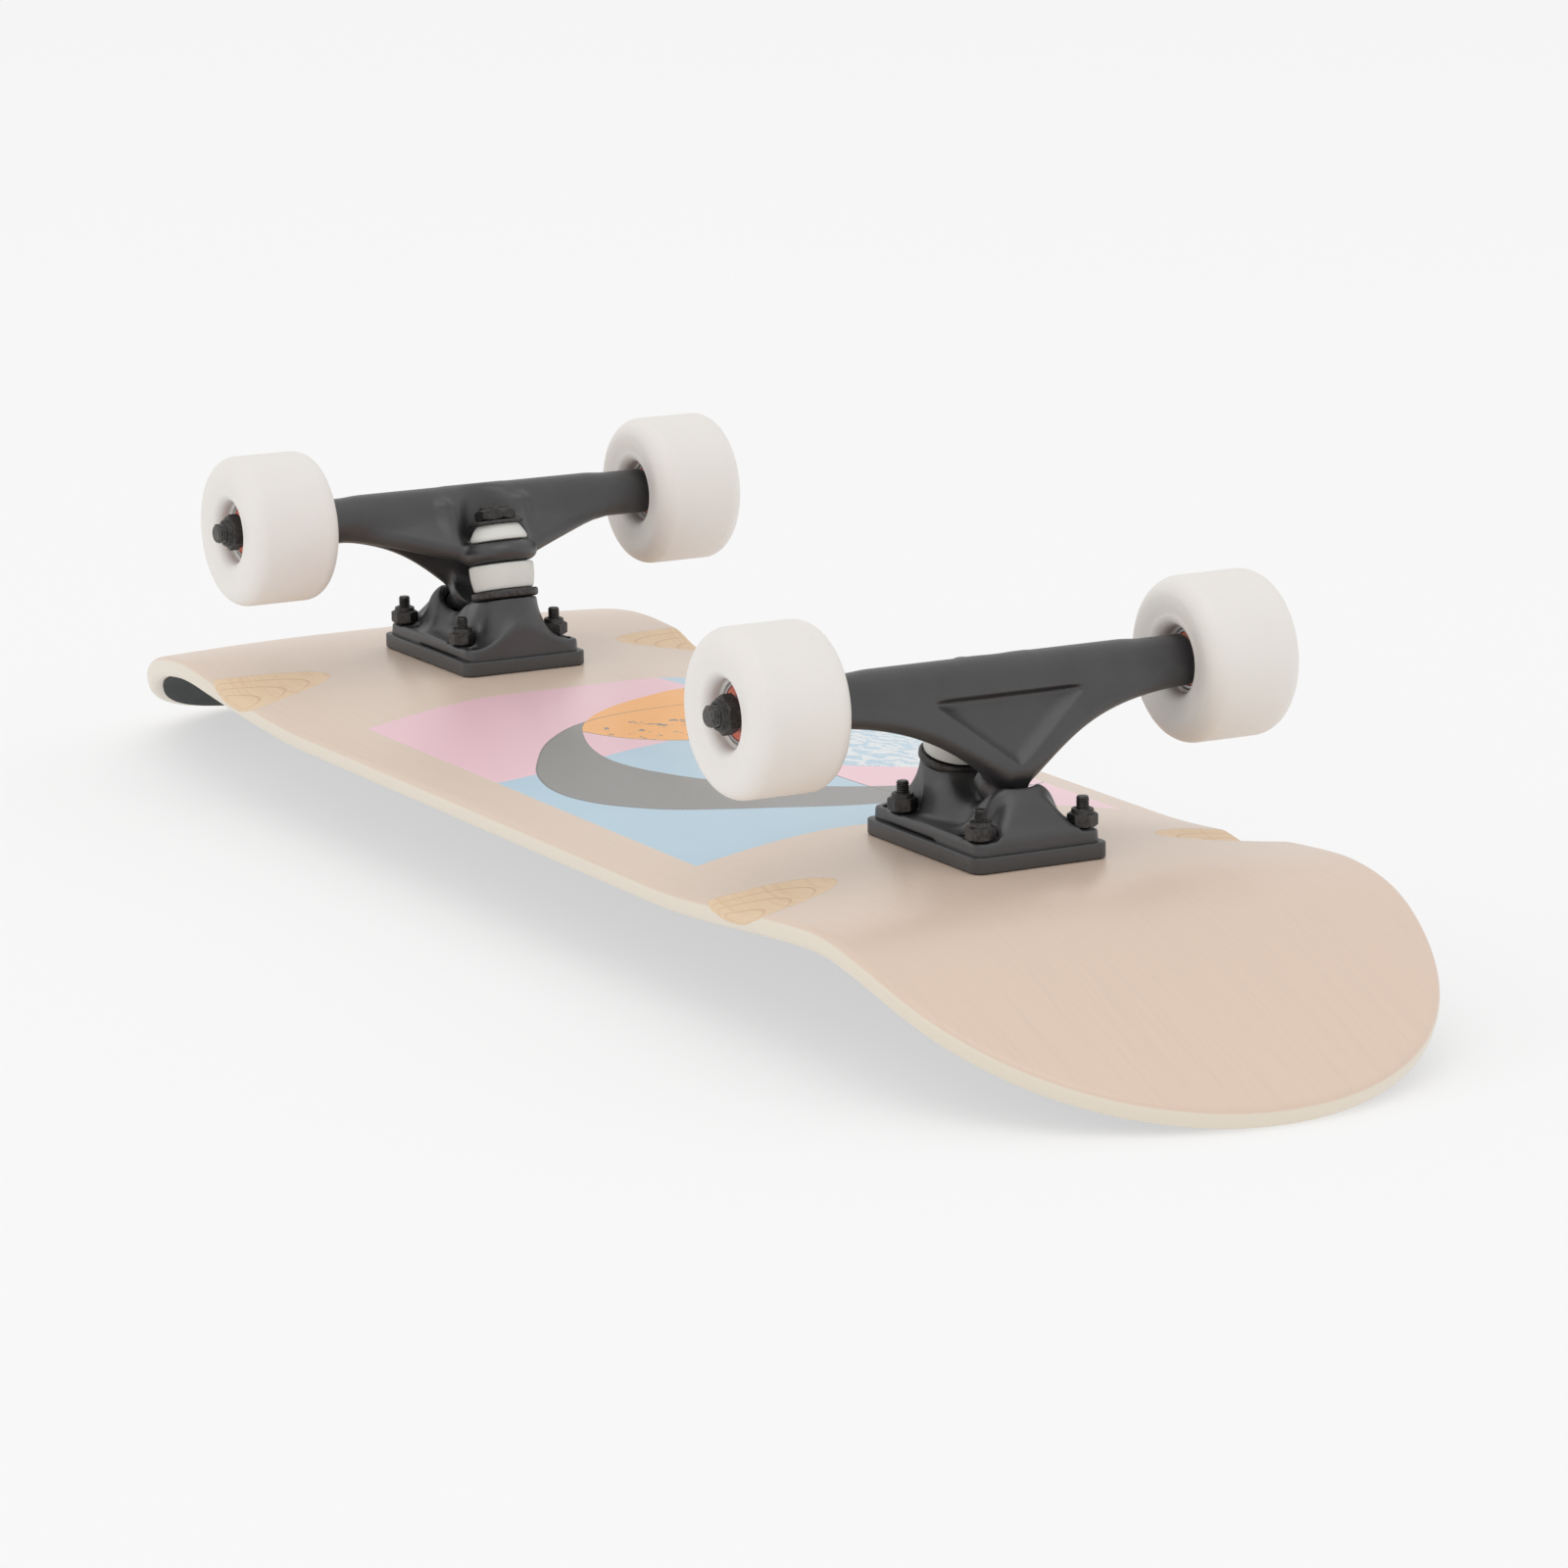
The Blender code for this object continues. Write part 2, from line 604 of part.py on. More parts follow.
def make_riser(name, base, parts, extras, material):
    half = RISER_LENGTH / 2
    low, high = RISER_BOTTOM, RISER_BOTTOM + RISER_THICKNESS
    points = slab_outline(-half, half, RISER_WIDTH / 2, PLATE_CORNER, low)
    points += slab_outline(-half, half, RISER_WIDTH / 2, PLATE_CORNER, high)
    riser = hull(name, points, parts, parent=base)
    cuts = make_collection(f"{name}_cuts", extras)
    for i, (x, y) in enumerate(bolt_places()):
        hole = rod(BOLT_RADIUS + GAP, low - OVERSHOOT, high + OVERSHOOT)
        turned(f"{name}_hole_{i}", hole, cuts, SMALL_STEPS, parent=base, location=(x, y, 0))
    boolean(riser, "DIFFERENCE", cuts)
    return finish(riser, material)


def make_baseplate(name, base, parts, extras, material):
    """The cast plate with the kingpin's boss inboard and the pivot housing outboard."""
    half, corner = PLATE_LENGTH / 2, PLATE_CORNER
    points = slab_outline(-half, half, PLATE_WIDTH / 2, corner, PLATE_BOTTOM)
    points += slab_outline(-half, half, PLATE_WIDTH / 2, corner, PLATE_TOP)
    plate = hull(name, points, parts, parent=base)

    joins = make_collection(f"{name}_joins", extras)
    foot_z = (PLATE_BOTTOM + PLATE_TOP) / 2
    boss = slab_outline(
        -BOSS_FOOT_INBOARD, BOSS_FOOT_OUTBOARD, BOSS_FOOT_HALF_WIDTH, BOSS_FOOT_CORNER, foot_z, 4
    )
    boss += disc(BOSS_TOP, KINGPIN_AXIS, BOSS_TOP_RADIUS, MEDIUM_STEPS)
    hull(f"{name}_boss", boss, joins, parent=base)
    housing_foot = (HOUSING_FOOT_INBOARD, HOUSING_FOOT_OUTBOARD, HOUSING_FOOT_HALF_WIDTH)
    housing = slab_outline(*housing_foot, HOUSING_FOOT_CORNER, foot_z, 4)
    housing += disc(MOUTH_CENTRE, STEERING_AXIS, HOUSING_RADIUS, MEDIUM_STEPS)
    toe = MOUTH_CENTRE + STEERING_AXIS * HOUSING_DEPTH
    housing += disc(toe, STEERING_AXIS, HOUSING_RADIUS * HOUSING_TOE_SHARE, MEDIUM_STEPS)
    hull(f"{name}_housing", housing, joins, parent=base)
    outboard, saddle_top = MOUTH_CENTRE.x, PLATE_TOP + SADDLE_ABOVE_PLATE
    saddle = slab_outline(
        BOSS_TOP_OFFSET, outboard, SADDLE_FOOT_HALF_WIDTH, SADDLE_FOOT_CORNER, foot_z
    )
    outboard -= SADDLE_TOP_INSET
    saddle += slab_outline(
        BOSS_TOP_OFFSET, outboard, SADDLE_TOP_HALF_WIDTH, SADDLE_TOP_CORNER, saddle_top
    )
    hull(f"{name}_saddle", saddle, joins, parent=base)
    boolean(plate, "UNION", joins)

    cuts = make_collection(f"{name}_cuts", extras)
    kingpin = {"parent": base, "location": BOSS_TOP, "direction": KINGPIN_AXIS}
    hole = rod(KINGPIN_RADIUS + GAP, -FAR_OVERSHOOT, OVERSHOOT)
    turned(f"{name}_kingpin_hole", hole, cuts, MEDIUM_STEPS, **kingpin)
    head_space = (KINGPIN_HEAD_FLATS + 2 * GAP, -FAR_OVERSHOOT, GAP - KINGPIN_HEAD_DEPTH)
    prism(f"{name}_head_pocket", *head_space, cuts, **kingpin)
    pivot = {"parent": base, "location": MOUTH_CENTRE, "direction": -STEERING_AXIS}
    seat = CUP_RADIUS + GAP
    seat_depth = CUP_DEPTH + GAP
    seat_profile = [(0, FAR_OVERSHOOT), (seat, FAR_OVERSHOOT), *cup_end(seat, seat_depth)]
    turned(f"{name}_cup_seat", seat_profile, cuts, MEDIUM_STEPS, **pivot)
    nose_space = rod(HOUSING_RADIUS + GAP, 0, NOSE_SPACE_LENGTH)
    turned(f"{name}_nose_space", nose_space, cuts, MEDIUM_STEPS, **pivot)
    nut_space = LOCK_NUT_FLATS / math.sqrt(3) + 3 * GAP
    for i, (x, y) in enumerate(bolt_places()):
        hole = rod(BOLT_RADIUS + GAP, PLATE_BOTTOM - OVERSHOOT, PLATE_TOP + OVERSHOOT)
        turned(f"{name}_hole_{i}", hole, cuts, SMALL_STEPS, parent=base, location=(x, y, 0))
        space = rod(nut_space, PLATE_TOP, PLATE_TOP + FAR_OVERSHOOT)
        turned(f"{name}_nut_space_{i}", space, cuts, SMALL_STEPS, parent=base, location=(x, y, 0))
    boolean(plate, "DIFFERENCE", cuts)
    return finish(plate, material)


def cup_end(radius, depth):
    """The blind end of the pivot's seat, cup and stem: a straight wall, then a corner round."""
    corner = radius * 0.45
    return [*arc((radius - corner, -depth + corner), corner, 0, -90, 4), (0, -depth)]


def make_pivot_cup(name, base, parts, material):
    inner = cup_end(CUP_INNER_RADIUS, CUP_DEPTH - CUP_WALL)
    outer = cup_end(CUP_RADIUS, CUP_DEPTH)
    profile = [*reversed(inner), (CUP_INNER_RADIUS, 0), (CUP_RADIUS, 0), *outer]
    place = {"parent": base, "location": MOUTH_CENTRE, "direction": -STEERING_AXIS}
    return finish(turned(name, profile, parts, MEDIUM_STEPS, **place), material)


def make_kingpin(name, base, parts, extras, material):
    """A bolt with its hexagonal head let into the underside of the baseplate."""
    place = {"parent": base, "location": BOSS_TOP, "direction": KINGPIN_AXIS}
    low = -KINGPIN_HEAD_DEPTH - KINGPIN_HEAD_HEIGHT
    kingpin = prism(name, KINGPIN_HEAD_FLATS, low, -KINGPIN_HEAD_DEPTH, parts, **place)
    joins = make_collection(f"{name}_joins", extras)
    r, tip, foot = KINGPIN_RADIUS, KINGPIN_TIP_AT, low + OVERSHOOT
    shank = [(0, tip), (r - TIP_CHAMFER, tip), (r, tip - TIP_CHAMFER), (r, foot), (0, foot)]
    turned(f"{name}_shank", shank, joins, SMALL_STEPS, **place)
    boolean(kingpin, "UNION", joins)
    return finish(kingpin, material)


def make_kingpin_stack(prefix, base, parts, extras, materials):
    """Cup washer, two bushings, flat washer and nut, threaded on the kingpin."""
    hole = KINGPIN_RADIUS + GAP

    def ring_piece(name, profile, at, material):
        place = {"parent": base, "location": along_kingpin(at), "direction": KINGPIN_AXIS}
        finish(turned(f"{prefix}_{name}", profile, parts, MEDIUM_STEPS, **place), materials[material])

    ring_piece(
        "lower_washer",
        ring(hole, LOWER_WASHER_RADIUS, 0, LOWER_WASHER_HEIGHT, CUP_WASHER_CHAMFER),
        LOWER_WASHER_AT,
        "washers",
    )
    top, waist = LOWER_BUSHING_HEIGHT, LOWER_BUSHING_WAIST
    lower = [(hole, top), (LOWER_BUSHING_RADIUS, top), (waist + 0.0004, top / 2)]
    lower += [(waist, 0), (hole, 0)]
    ring_piece("lower_bushing", lower, LOWER_BUSHING_AT, "bushings")
    top = UPPER_BUSHING_HEIGHT
    upper = [(hole, top), (UPPER_BUSHING_TOP_RADIUS, top), (UPPER_BUSHING_RADIUS - 0.0006, top * 0.4)]
    upper += [(UPPER_BUSHING_RADIUS, 0), (hole, 0)]
    ring_piece("upper_bushing", upper, UPPER_BUSHING_AT, "bushings")
    ring_piece(
        "upper_washer",
        ring(hole, UPPER_WASHER_RADIUS, 0, UPPER_WASHER_HEIGHT, WASHER_CHAMFER),
        UPPER_WASHER_AT,
        "washers",
    )
    make_hex_nut(
        f"{prefix}_kingpin_nut",
        {"parent": base, "location": along_kingpin(KINGPIN_NUT_AT), "direction": KINGPIN_AXIS},
        parts,
        extras,
        materials["kingpins"],
        KINGPIN_NUT_FLATS,
        (KINGPIN_NUT_HEIGHT, KINGPIN_NUT_COLLAR_HEIGHT),
        KINGPIN_NUT_COLLAR_RADIUS,
        hole,
    )


def make_bolts(prefix, base, parts, extras, materials):
    for number, (x, y) in enumerate(bolt_places(), 1):
        place = {"parent": base, "location": (x, y, 0)}
        bolt = turned(f"{prefix}_deck_bolt_{number}", bolt_profile(0), parts, SMALL_STEPS, **place)
        finish(bolt, materials["bolts"])
        make_hex_nut(
            f"{prefix}_lock_nut_{number}",
            {"parent": base, "location": (x, y, LOCK_NUT_BOTTOM)},
            parts,
            extras,
            materials["bolts"],
            LOCK_NUT_FLATS,
            (LOCK_NUT_HEX_HEIGHT, LOCK_NUT_COLLAR_HEIGHT),
            LOCK_NUT_COLLAR_RADIUS,
            BOLT_RADIUS + GAP,
        )


# -------------------------------------------------------------------------------------- hanger


def make_hanger(name, pivot, parts, extras, material):
    """The hanger in the frame of its pivot: its parent's origin is at the ring's centre."""
    axle = Vector((AXLE_OFFSET, 0, AXLE_HEIGHT)) - RING_CENTRE
    mouth = STEERING_AXIS * (MOUTH_DISTANCE - 3 * GAP)
    half = HANGER_WIDTH / 2
    end, middle = HANGER_END_RADIUS, HANGER_MIDDLE_RADIUS
    tube_profile = [(0, half), (end, half), (end, HANGER_END_HALF), (middle, HANGER_MIDDLE_HALF)]
    tube_profile += [(radius, -height) for radius, height in reversed(tube_profile)]
    across = {"parent": pivot, "location": axle, "direction": (0, 1, 0)}
    hanger = turned(name, tube_profile, parts, MEDIUM_STEPS, **across)

    joins = make_collection(f"{name}_joins", extras)
    in_pivot = {"parent": pivot}
    upper_web, lower_web, yoke = [], [], []
    for side in (-1, 1):
        wide = axle + Vector((WEB_WIDE_OUTBOARD, side * WEB_WIDE_HALF, -WEB_WIDE_DROP))
        upper_mid = axle + Vector((WEB_MIDDLE_OUTBOARD, side * WEB_MIDDLE_HALF, -UPPER_WEB_DROP))
        lower_mid = axle + Vector((WEB_MIDDLE_OUTBOARD, side * WEB_MIDDLE_HALF, -LOWER_WEB_DROP))
        yoke_end = axle + Vector((-YOKE_INBOARD, side * YOKE_HALF, -YOKE_DROP))
        upper_web += disc(wide, (0, 1, 0), end - WEB_WIDE_INSET)
        upper_web += disc(upper_mid, (0, 1, 0), UPPER_WEB_RADIUS)
        lower_web += disc(lower_mid, (0, 1, 0), LOWER_WEB_RADIUS)
        yoke += disc(yoke_end, (0, 1, 0), YOKE_RADIUS)
    lower_web += disc(mouth, STEERING_AXIS, STEM_RADIUS + STEM_FLARE)
    root = mouth - STEERING_AXIS * STEM_ROOT_LENGTH
    lower_web += disc(root, STEERING_AXIS, STEM_RADIUS + STEM_ROOT_FLARE)
    ring_low, ring_high = -RING_HEIGHT / 2, RING_HEIGHT / 2
    for place in (ring_low, ring_high):
        centre = KINGPIN_AXIS * place * YOKE_RING_SHARE
        yoke += disc(centre, KINGPIN_AXIS, RING_RADIUS - YOKE_RING_INSET, MEDIUM_STEPS)
    hull(f"{name}_upper_web", upper_web, joins, **in_pivot)
    hull(f"{name}_lower_web", lower_web, joins, **in_pivot)
    hull(f"{name}_yoke", yoke, joins, **in_pivot)
    bolt_way = {"parent": pivot, "direction": KINGPIN_AXIS}
    turned(f"{name}_ring", rod(RING_RADIUS, ring_low, ring_high), joins, ROUND_STEPS, **bolt_way)
    stem = [(0, STEM_OVERLAP), (STEM_RADIUS, STEM_OVERLAP), *cup_end(STEM_RADIUS, STEM_LENGTH)]
    stem_place = {"location": STEERING_AXIS * MOUTH_DISTANCE, "direction": -STEERING_AXIS}
    turned(f"{name}_stem", stem, joins, MEDIUM_STEPS, parent=pivot, **stem_place)
    boolean(hanger, "UNION", joins)

    cuts = make_collection(f"{name}_cuts", extras)
    bore = rod(AXLE_RADIUS + GAP, -half - OVERSHOOT, half + OVERSHOOT)
    turned(f"{name}_axle_bore", bore, cuts, SMALL_STEPS, **across)
    hole = rod(RING_HOLE_RADIUS, -FAR_OVERSHOOT, FAR_OVERSHOOT)
    turned(f"{name}_ring_hole", hole, cuts, MEDIUM_STEPS, **bolt_way)
    space = rod(NUT_CLEARANCE, ring_high, ring_high + FAR_OVERSHOOT)
    turned(f"{name}_nut_space", space, cuts, ROUND_STEPS, **bolt_way)
    space = rod(BUSHING_CLEARANCE, ring_low - FAR_OVERSHOOT, ring_low)
    turned(f"{name}_bushing_space", space, cuts, ROUND_STEPS, **bolt_way)
    hull(f"{name}_pocket", pocket_points(axle, mouth), cuts, **in_pivot)
    boolean(hanger, "DIFFERENCE", cuts)
    return finish(hanger, material)


def pocket_points(axle, mouth):
    """A shallow three-cornered pocket in the hanger's outboard face."""
    normal = Vector((1, 0, POCKET_FACE_LEAN))
    face = axle + Vector((HANGER_MIDDLE_RADIUS, 0, 0))
    low = mouth + Vector((POCKET_LOW_OUTBOARD, 0, POCKET_LOW_RISE))
    points = []
    for side in (-1, 1):
        rim = face + Vector((0, side * POCKET_HALF_WIDTH, -POCKET_TOP_DROP))
        floor = face + Vector((-POCKET_DEPTH, side * POCKET_FLOOR_HALF_WIDTH, -POCKET_FLOOR_TOP_DROP))
        points += disc(rim, normal, POCKET_CORNER, POCKET_STEPS)
        points += disc(floor, normal, POCKET_FLOOR_CORNER, POCKET_STEPS)
    low_floor = low + Vector((-POCKET_DEPTH, 0, POCKET_FLOOR_RISE))
    points += disc(low, normal, POCKET_CORNER, POCKET_STEPS)
    points += disc(low_floor, normal, POCKET_FLOOR_CORNER, POCKET_STEPS)
    outwards = Vector((FAR_OVERSHOOT / 3, 0, 0))
    points += [p + outwards for p in points]
    return points


def make_axle(name, pivot, parts, material):
    axle = Vector((AXLE_OFFSET, 0, AXLE_HEIGHT)) - RING_CENTRE
    r, half = AXLE_RADIUS, AXLE_HALF
    profile = [(0, half), (r - TIP_CHAMFER, half), (r, half - TIP_CHAMFER)]
    profile += [(radius, -height) for radius, height in reversed(profile)]
    place = {"parent": pivot, "location": axle, "direction": (0, 1, 0)}
    return finish(turned(name, profile, parts, SMALL_STEPS, **place), material)


def make_axle_nut(name, pivot, side, parts, extras, material):
    """Outside the outer bearing, with room for a speed washer, and facing outwards."""
    axle = Vector((AXLE_OFFSET, 0, AXLE_HEIGHT)) - RING_CENTRE
    offset = Vector((0, side * AXLE_NUT_AT, 0))
    return make_hex_nut(
        name,
        {"parent": pivot, "location": axle + offset, "direction": (0, side, 0)},
        parts,
        extras,
        material,
        AXLE_NUT_FLATS,
        (AXLE_NUT_HEX_HEIGHT, AXLE_NUT_COLLAR_HEIGHT),
        AXLE_NUT_COLLAR_RADIUS,
        AXLE_RADIUS + GAP,
    )


# -------------------------------------------------------------------------------------- wheels


def wheel_profile():
    """Half a wheel's section from its rim to its bearing seat, then the same mirrored."""
    half, lip = WHEEL_WIDTH / 2, WHEEL_LIP_RADIUS
    seat_bottom = BEARING_SPACING / 2 - BEARING_WIDTH / 2 - GAP
    seat_top = half - WHEEL_DISH_DEPTH - WHEEL_MOUTH_STEP
    centre = (WHEEL_RADIUS - lip, half - lip)
    upper = [(WHEEL_CORE_RADIUS, seat_bottom), (WHEEL_SEAT_RADIUS, seat_bottom)]
    upper += [(WHEEL_SEAT_RADIUS, seat_top), (WHEEL_OPENING_RADIUS, half - WHEEL_DISH_DEPTH)]
    upper += [(WHEEL_FLARE_RADIUS, half - WHEEL_FLARE_DEPTH)]
    upper += [(WHEEL_DISH_RADIUS, half), *arc(centre, lip, 90, 0, 3)]
    return [*upper, *[(radius, -height) for radius, height in reversed(upper)]]


def make_wheel(prefix, spin, parts, materials):
    """A wheel with its bearings and spacer, centred on its parent, turning about local Z."""
    across = {"parent": spin, "direction": (0, 1, 0)}
    finish(turned(f"{prefix}_wheel", wheel_profile(), parts, ROUND_STEPS, **across), materials["wheels"])
    half = BEARING_WIDTH / 2
    section = ring(BEARING_BORE_RADIUS, BEARING_RADIUS, -half, half, BEARING_CHAMFER)
    for place, sign in (("outer", 1), ("inner", -1)):
        name = f"{prefix}_{place}_bearing"
        shift = sign * spin["outward"] * BEARING_SPACING / 2
        bearing = turned(name, section, parts, MEDIUM_STEPS, location=(0, shift, 0), **across)
        finish(bearing, materials["bearings"])
    half = (BEARING_SPACING - BEARING_WIDTH) / 2 - GAP
    section = ring(BEARING_BORE_RADIUS, SPACER_RADIUS, -half, half)
    spacer = turned(f"{prefix}_bearing_spacer", section, parts, SMALL_STEPS, **across)
    finish(spacer, materials["axles"])


def make_truck(end, truck_sign, parts, extras, materials):
    """One truck. The front one faces the nose, so its frame is turned half round."""
    base = bpy.data.objects.new(f"{end}_truck_frame", None)
    parts.objects.link(base)
    base.location = (TRUCK_MIDDLE_X + truck_sign * HALF_SPACING, 0, DECK_Z)
    base.rotation_euler.z = 0 if truck_sign > 0 else math.pi
    pivot = bpy.data.objects.new(f"{end}_steering_frame", None)
    parts.objects.link(pivot)
    pivot.parent = base
    pivot.location = RING_CENTRE

    make_riser(f"{end}_riser_pad", base, parts, extras, materials["risers"])
    make_baseplate(f"{end}_baseplate", base, parts, extras, materials["trucks"])
    make_pivot_cup(f"{end}_pivot_cup", base, parts, materials["cups"])
    make_kingpin(f"{end}_kingpin", base, parts, extras, materials["kingpins"])
    make_kingpin_stack(end, base, parts, extras, materials)
    make_bolts(end, base, parts, extras, materials)
    make_hanger(f"{end}_hanger", pivot, parts, extras, materials["trucks"])
    make_axle(f"{end}_axle", pivot, parts, materials["axles"])
    for side_name, world_side in SIDES.items():
        side = world_side * truck_sign
        make_axle_nut(f"{end}_{side_name}_axle_nut", pivot, side, parts, extras, materials["nuts"])
        spin = bpy.data.objects.new(f"{end}_{side_name}_wheel_axis", None)
        parts.objects.link(spin)
        spin.parent = pivot
        axle = Vector((AXLE_OFFSET, 0, AXLE_HEIGHT)) - RING_CENTRE
        spin.location = axle + Vector((0, side * WHEEL_OFFSET, 0))
        spin["outward"] = side
        make_wheel(f"{end}_{side_name}", spin, parts, materials)


def main():
    clear_scene()
    parts = make_collection("skateboard")
    extras = make_collection("cutters")
    materials = {
        "deck": make_material("deck_lacquer", (0.73, 0.60, 0.51), 0.45),
        "grip": make_material("grip_grit", (0.045, 0.048, 0.048), 0.95),
        "risers": make_material("riser_plastic", (0.07, 0.07, 0.07), 0.55),
        "trucks": make_material("truck_paint", (0.06, 0.06, 0.065), 0.45, 0.3),
        "cups": make_material("cup_plastic", (0.08, 0.08, 0.08), 0.6),
        "kingpins": make_material("kingpin_steel", (0.05, 0.05, 0.05), 0.35, 0.8),
        "washers": make_material("washer_steel", (0.09, 0.08, 0.075), 0.35, 0.8),
        "bushings": make_material("bushing_rubber", (0.68, 0.68, 0.63), 0.5),
        "bolts": make_material("bolt_steel", (0.045, 0.042, 0.04), 0.35, 0.8),
        "axles": make_material("axle_steel", (0.35, 0.35, 0.36), 0.3, 1.0),
        "nuts": make_material("axle_nut_steel", (0.30, 0.30, 0.31), 0.3, 1.0),
        "wheels": make_material("wheel_urethane", (0.80, 0.76, 0.72), 0.4),
        "bearings": make_material("bearing_shield", (0.83, 0.22, 0.16), 0.4),
    }
    deck_cuts = make_collection("deck_cuts", extras)
    make_wells(deck_cuts)
    grip_cuts = make_collection("grip_cuts", extras)
    for truck_sign in (-1, 1):
        for i, (x, y) in enumerate(bolt_places()):
            place = (TRUCK_MIDDLE_X + truck_sign * (HALF_SPACING + x), y, DECK_Z)
            for cuts in (deck_cuts, grip_cuts):
                name = f"{cuts.name}_bolt_{truck_sign}_{i}"
                turned(name, bolt_profile(GAP), cuts, SMALL_STEPS, location=place)
    make_deck(parts, deck_cuts, materials["deck"])
    make_grip(parts, grip_cuts, materials["grip"])
    for end, truck_sign in (("front", -1), ("rear", 1)):
        make_truck(end, truck_sign, parts, extras, materials)


main()
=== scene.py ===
"""Skateboard, turned over and standing on its two tips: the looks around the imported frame.

Metres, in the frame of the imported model: X from the nose (-X) to the tail (+X), +Z up, origin on
the floor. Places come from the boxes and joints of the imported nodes. Turned pieces are worked out
about a local Z axis and then laid along the axle or the kingpin.
"""

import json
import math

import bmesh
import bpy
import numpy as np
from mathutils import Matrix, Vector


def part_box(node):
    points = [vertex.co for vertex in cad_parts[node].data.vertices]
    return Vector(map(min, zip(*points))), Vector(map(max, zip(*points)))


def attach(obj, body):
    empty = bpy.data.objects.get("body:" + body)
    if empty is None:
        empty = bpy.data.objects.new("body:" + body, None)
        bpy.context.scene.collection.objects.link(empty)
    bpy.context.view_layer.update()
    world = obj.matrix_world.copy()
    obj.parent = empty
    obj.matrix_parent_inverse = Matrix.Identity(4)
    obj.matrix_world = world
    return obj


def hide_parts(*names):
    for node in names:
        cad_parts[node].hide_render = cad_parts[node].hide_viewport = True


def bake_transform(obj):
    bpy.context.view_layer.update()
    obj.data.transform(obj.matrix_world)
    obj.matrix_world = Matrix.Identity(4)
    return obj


bl_info = {
    "name": "Skateboard builder",
    "version": (1, 0, 0),
    "blender": (4, 5, 0),
    "location": "3D View > Sidebar > Skateboard",
    "description": "Builds the detailed pieces, finishes and studio of a skateboard on its packed frame",
    "category": "Object",
}

import openvdb
from mathutils import Matrix

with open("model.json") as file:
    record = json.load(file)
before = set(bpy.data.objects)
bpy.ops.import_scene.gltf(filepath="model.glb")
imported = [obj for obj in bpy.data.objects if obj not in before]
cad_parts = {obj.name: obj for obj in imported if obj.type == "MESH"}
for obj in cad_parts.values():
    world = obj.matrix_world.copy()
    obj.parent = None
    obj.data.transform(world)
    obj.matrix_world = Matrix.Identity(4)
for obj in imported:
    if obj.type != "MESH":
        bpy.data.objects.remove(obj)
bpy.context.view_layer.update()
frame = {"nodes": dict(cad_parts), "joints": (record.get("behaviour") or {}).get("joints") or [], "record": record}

ENDS = {"front": -1, "rear": 1}
SIDES = {"left": -1, "right": 1}
BODIES = frame["record"]["behaviour"]["bodies"]
BODY_OF = {node: body for body, nodes in BODIES.items() for node in nodes}
JOINTS = {joint["name"]: joint for joint in frame["joints"]}


# ------------------------------------------------------------------------------------ settings


def length(name, description, default):
    return bpy.props.FloatProperty(
        name=name, description=description, default=default, unit="LENGTH", precision=5
    )


def colour(name, description, default):
    return bpy.props.FloatVectorProperty(
        name=name, description=description, default=default, subtype="COLOR", size=3, min=0, max=1
    )


def share(name, description, default):
    return bpy.props.FloatProperty(name=name, description=description, default=default)


class SKATE_PG_deck(bpy.types.PropertyGroup):
    """Shape of the pressed deck; along and reach are measured from the middle of the two trucks."""

    nose_taper_start: length("Nose taper start", "Where the nose starts to narrow", 0.197)
    nose_fullness: share("Nose fullness", "Power of the nose's superellipse", 2.6)
    tail_taper_start: length("Tail taper start", "Where the tail starts to narrow", 0.285)
    tail_fullness: share("Tail fullness", "Power of the tail's superellipse", 2.1)
    thickness: length("Thickness", "All seven plies", 0.0085)
    edge_round: length("Edge round", "Radius of the rounded edge", 0.003)
    flat_half_width: length("Flat half width", "Half of the flat between the concaves", 0.032)
    concave: length("Concave", "Rise of the edge over the flat, mid board", 0.0114)
    kick_concave: length("Kick concave", "Rise of the edge in the kicks", 0.0025)
    fade_start: length("Fade start", "Where the concave starts to fade", 0.147)
    fade_end: length("Fade end", "Where the concave has faded", 0.279)
    kick_drop: length("Kick drop", "Height of both kicks", 0.0478)
    nose_bend_start: length("Nose bend start", "Where the nose kick starts", 0.2527)
    nose_bend_radius: length("Nose bend radius", "Radius of the nose's bend", 0.2346)
    tail_bend_start: length("Tail bend start", "Where the tail kick starts", 0.264)
    tail_bend_radius: length("Tail bend radius", "Radius of the tail's bend", 0.1297)
    well_start: length("Well start", "Where the wheel wells start, from the middle line", 0.066)
    well_depth: length("Well depth", "Depth of a wheel well at the edge", 0.0046)
    well_radius: length("Well radius", "Radius of the cutter of the wheel wells", 0.054)
    grip_inset: length("Grip inset", "How far the grip tape stays inside the edge", 0.0055)
    grip_gap: length("Grip gap", "Space between the deck and its grip tape", 0.0003)


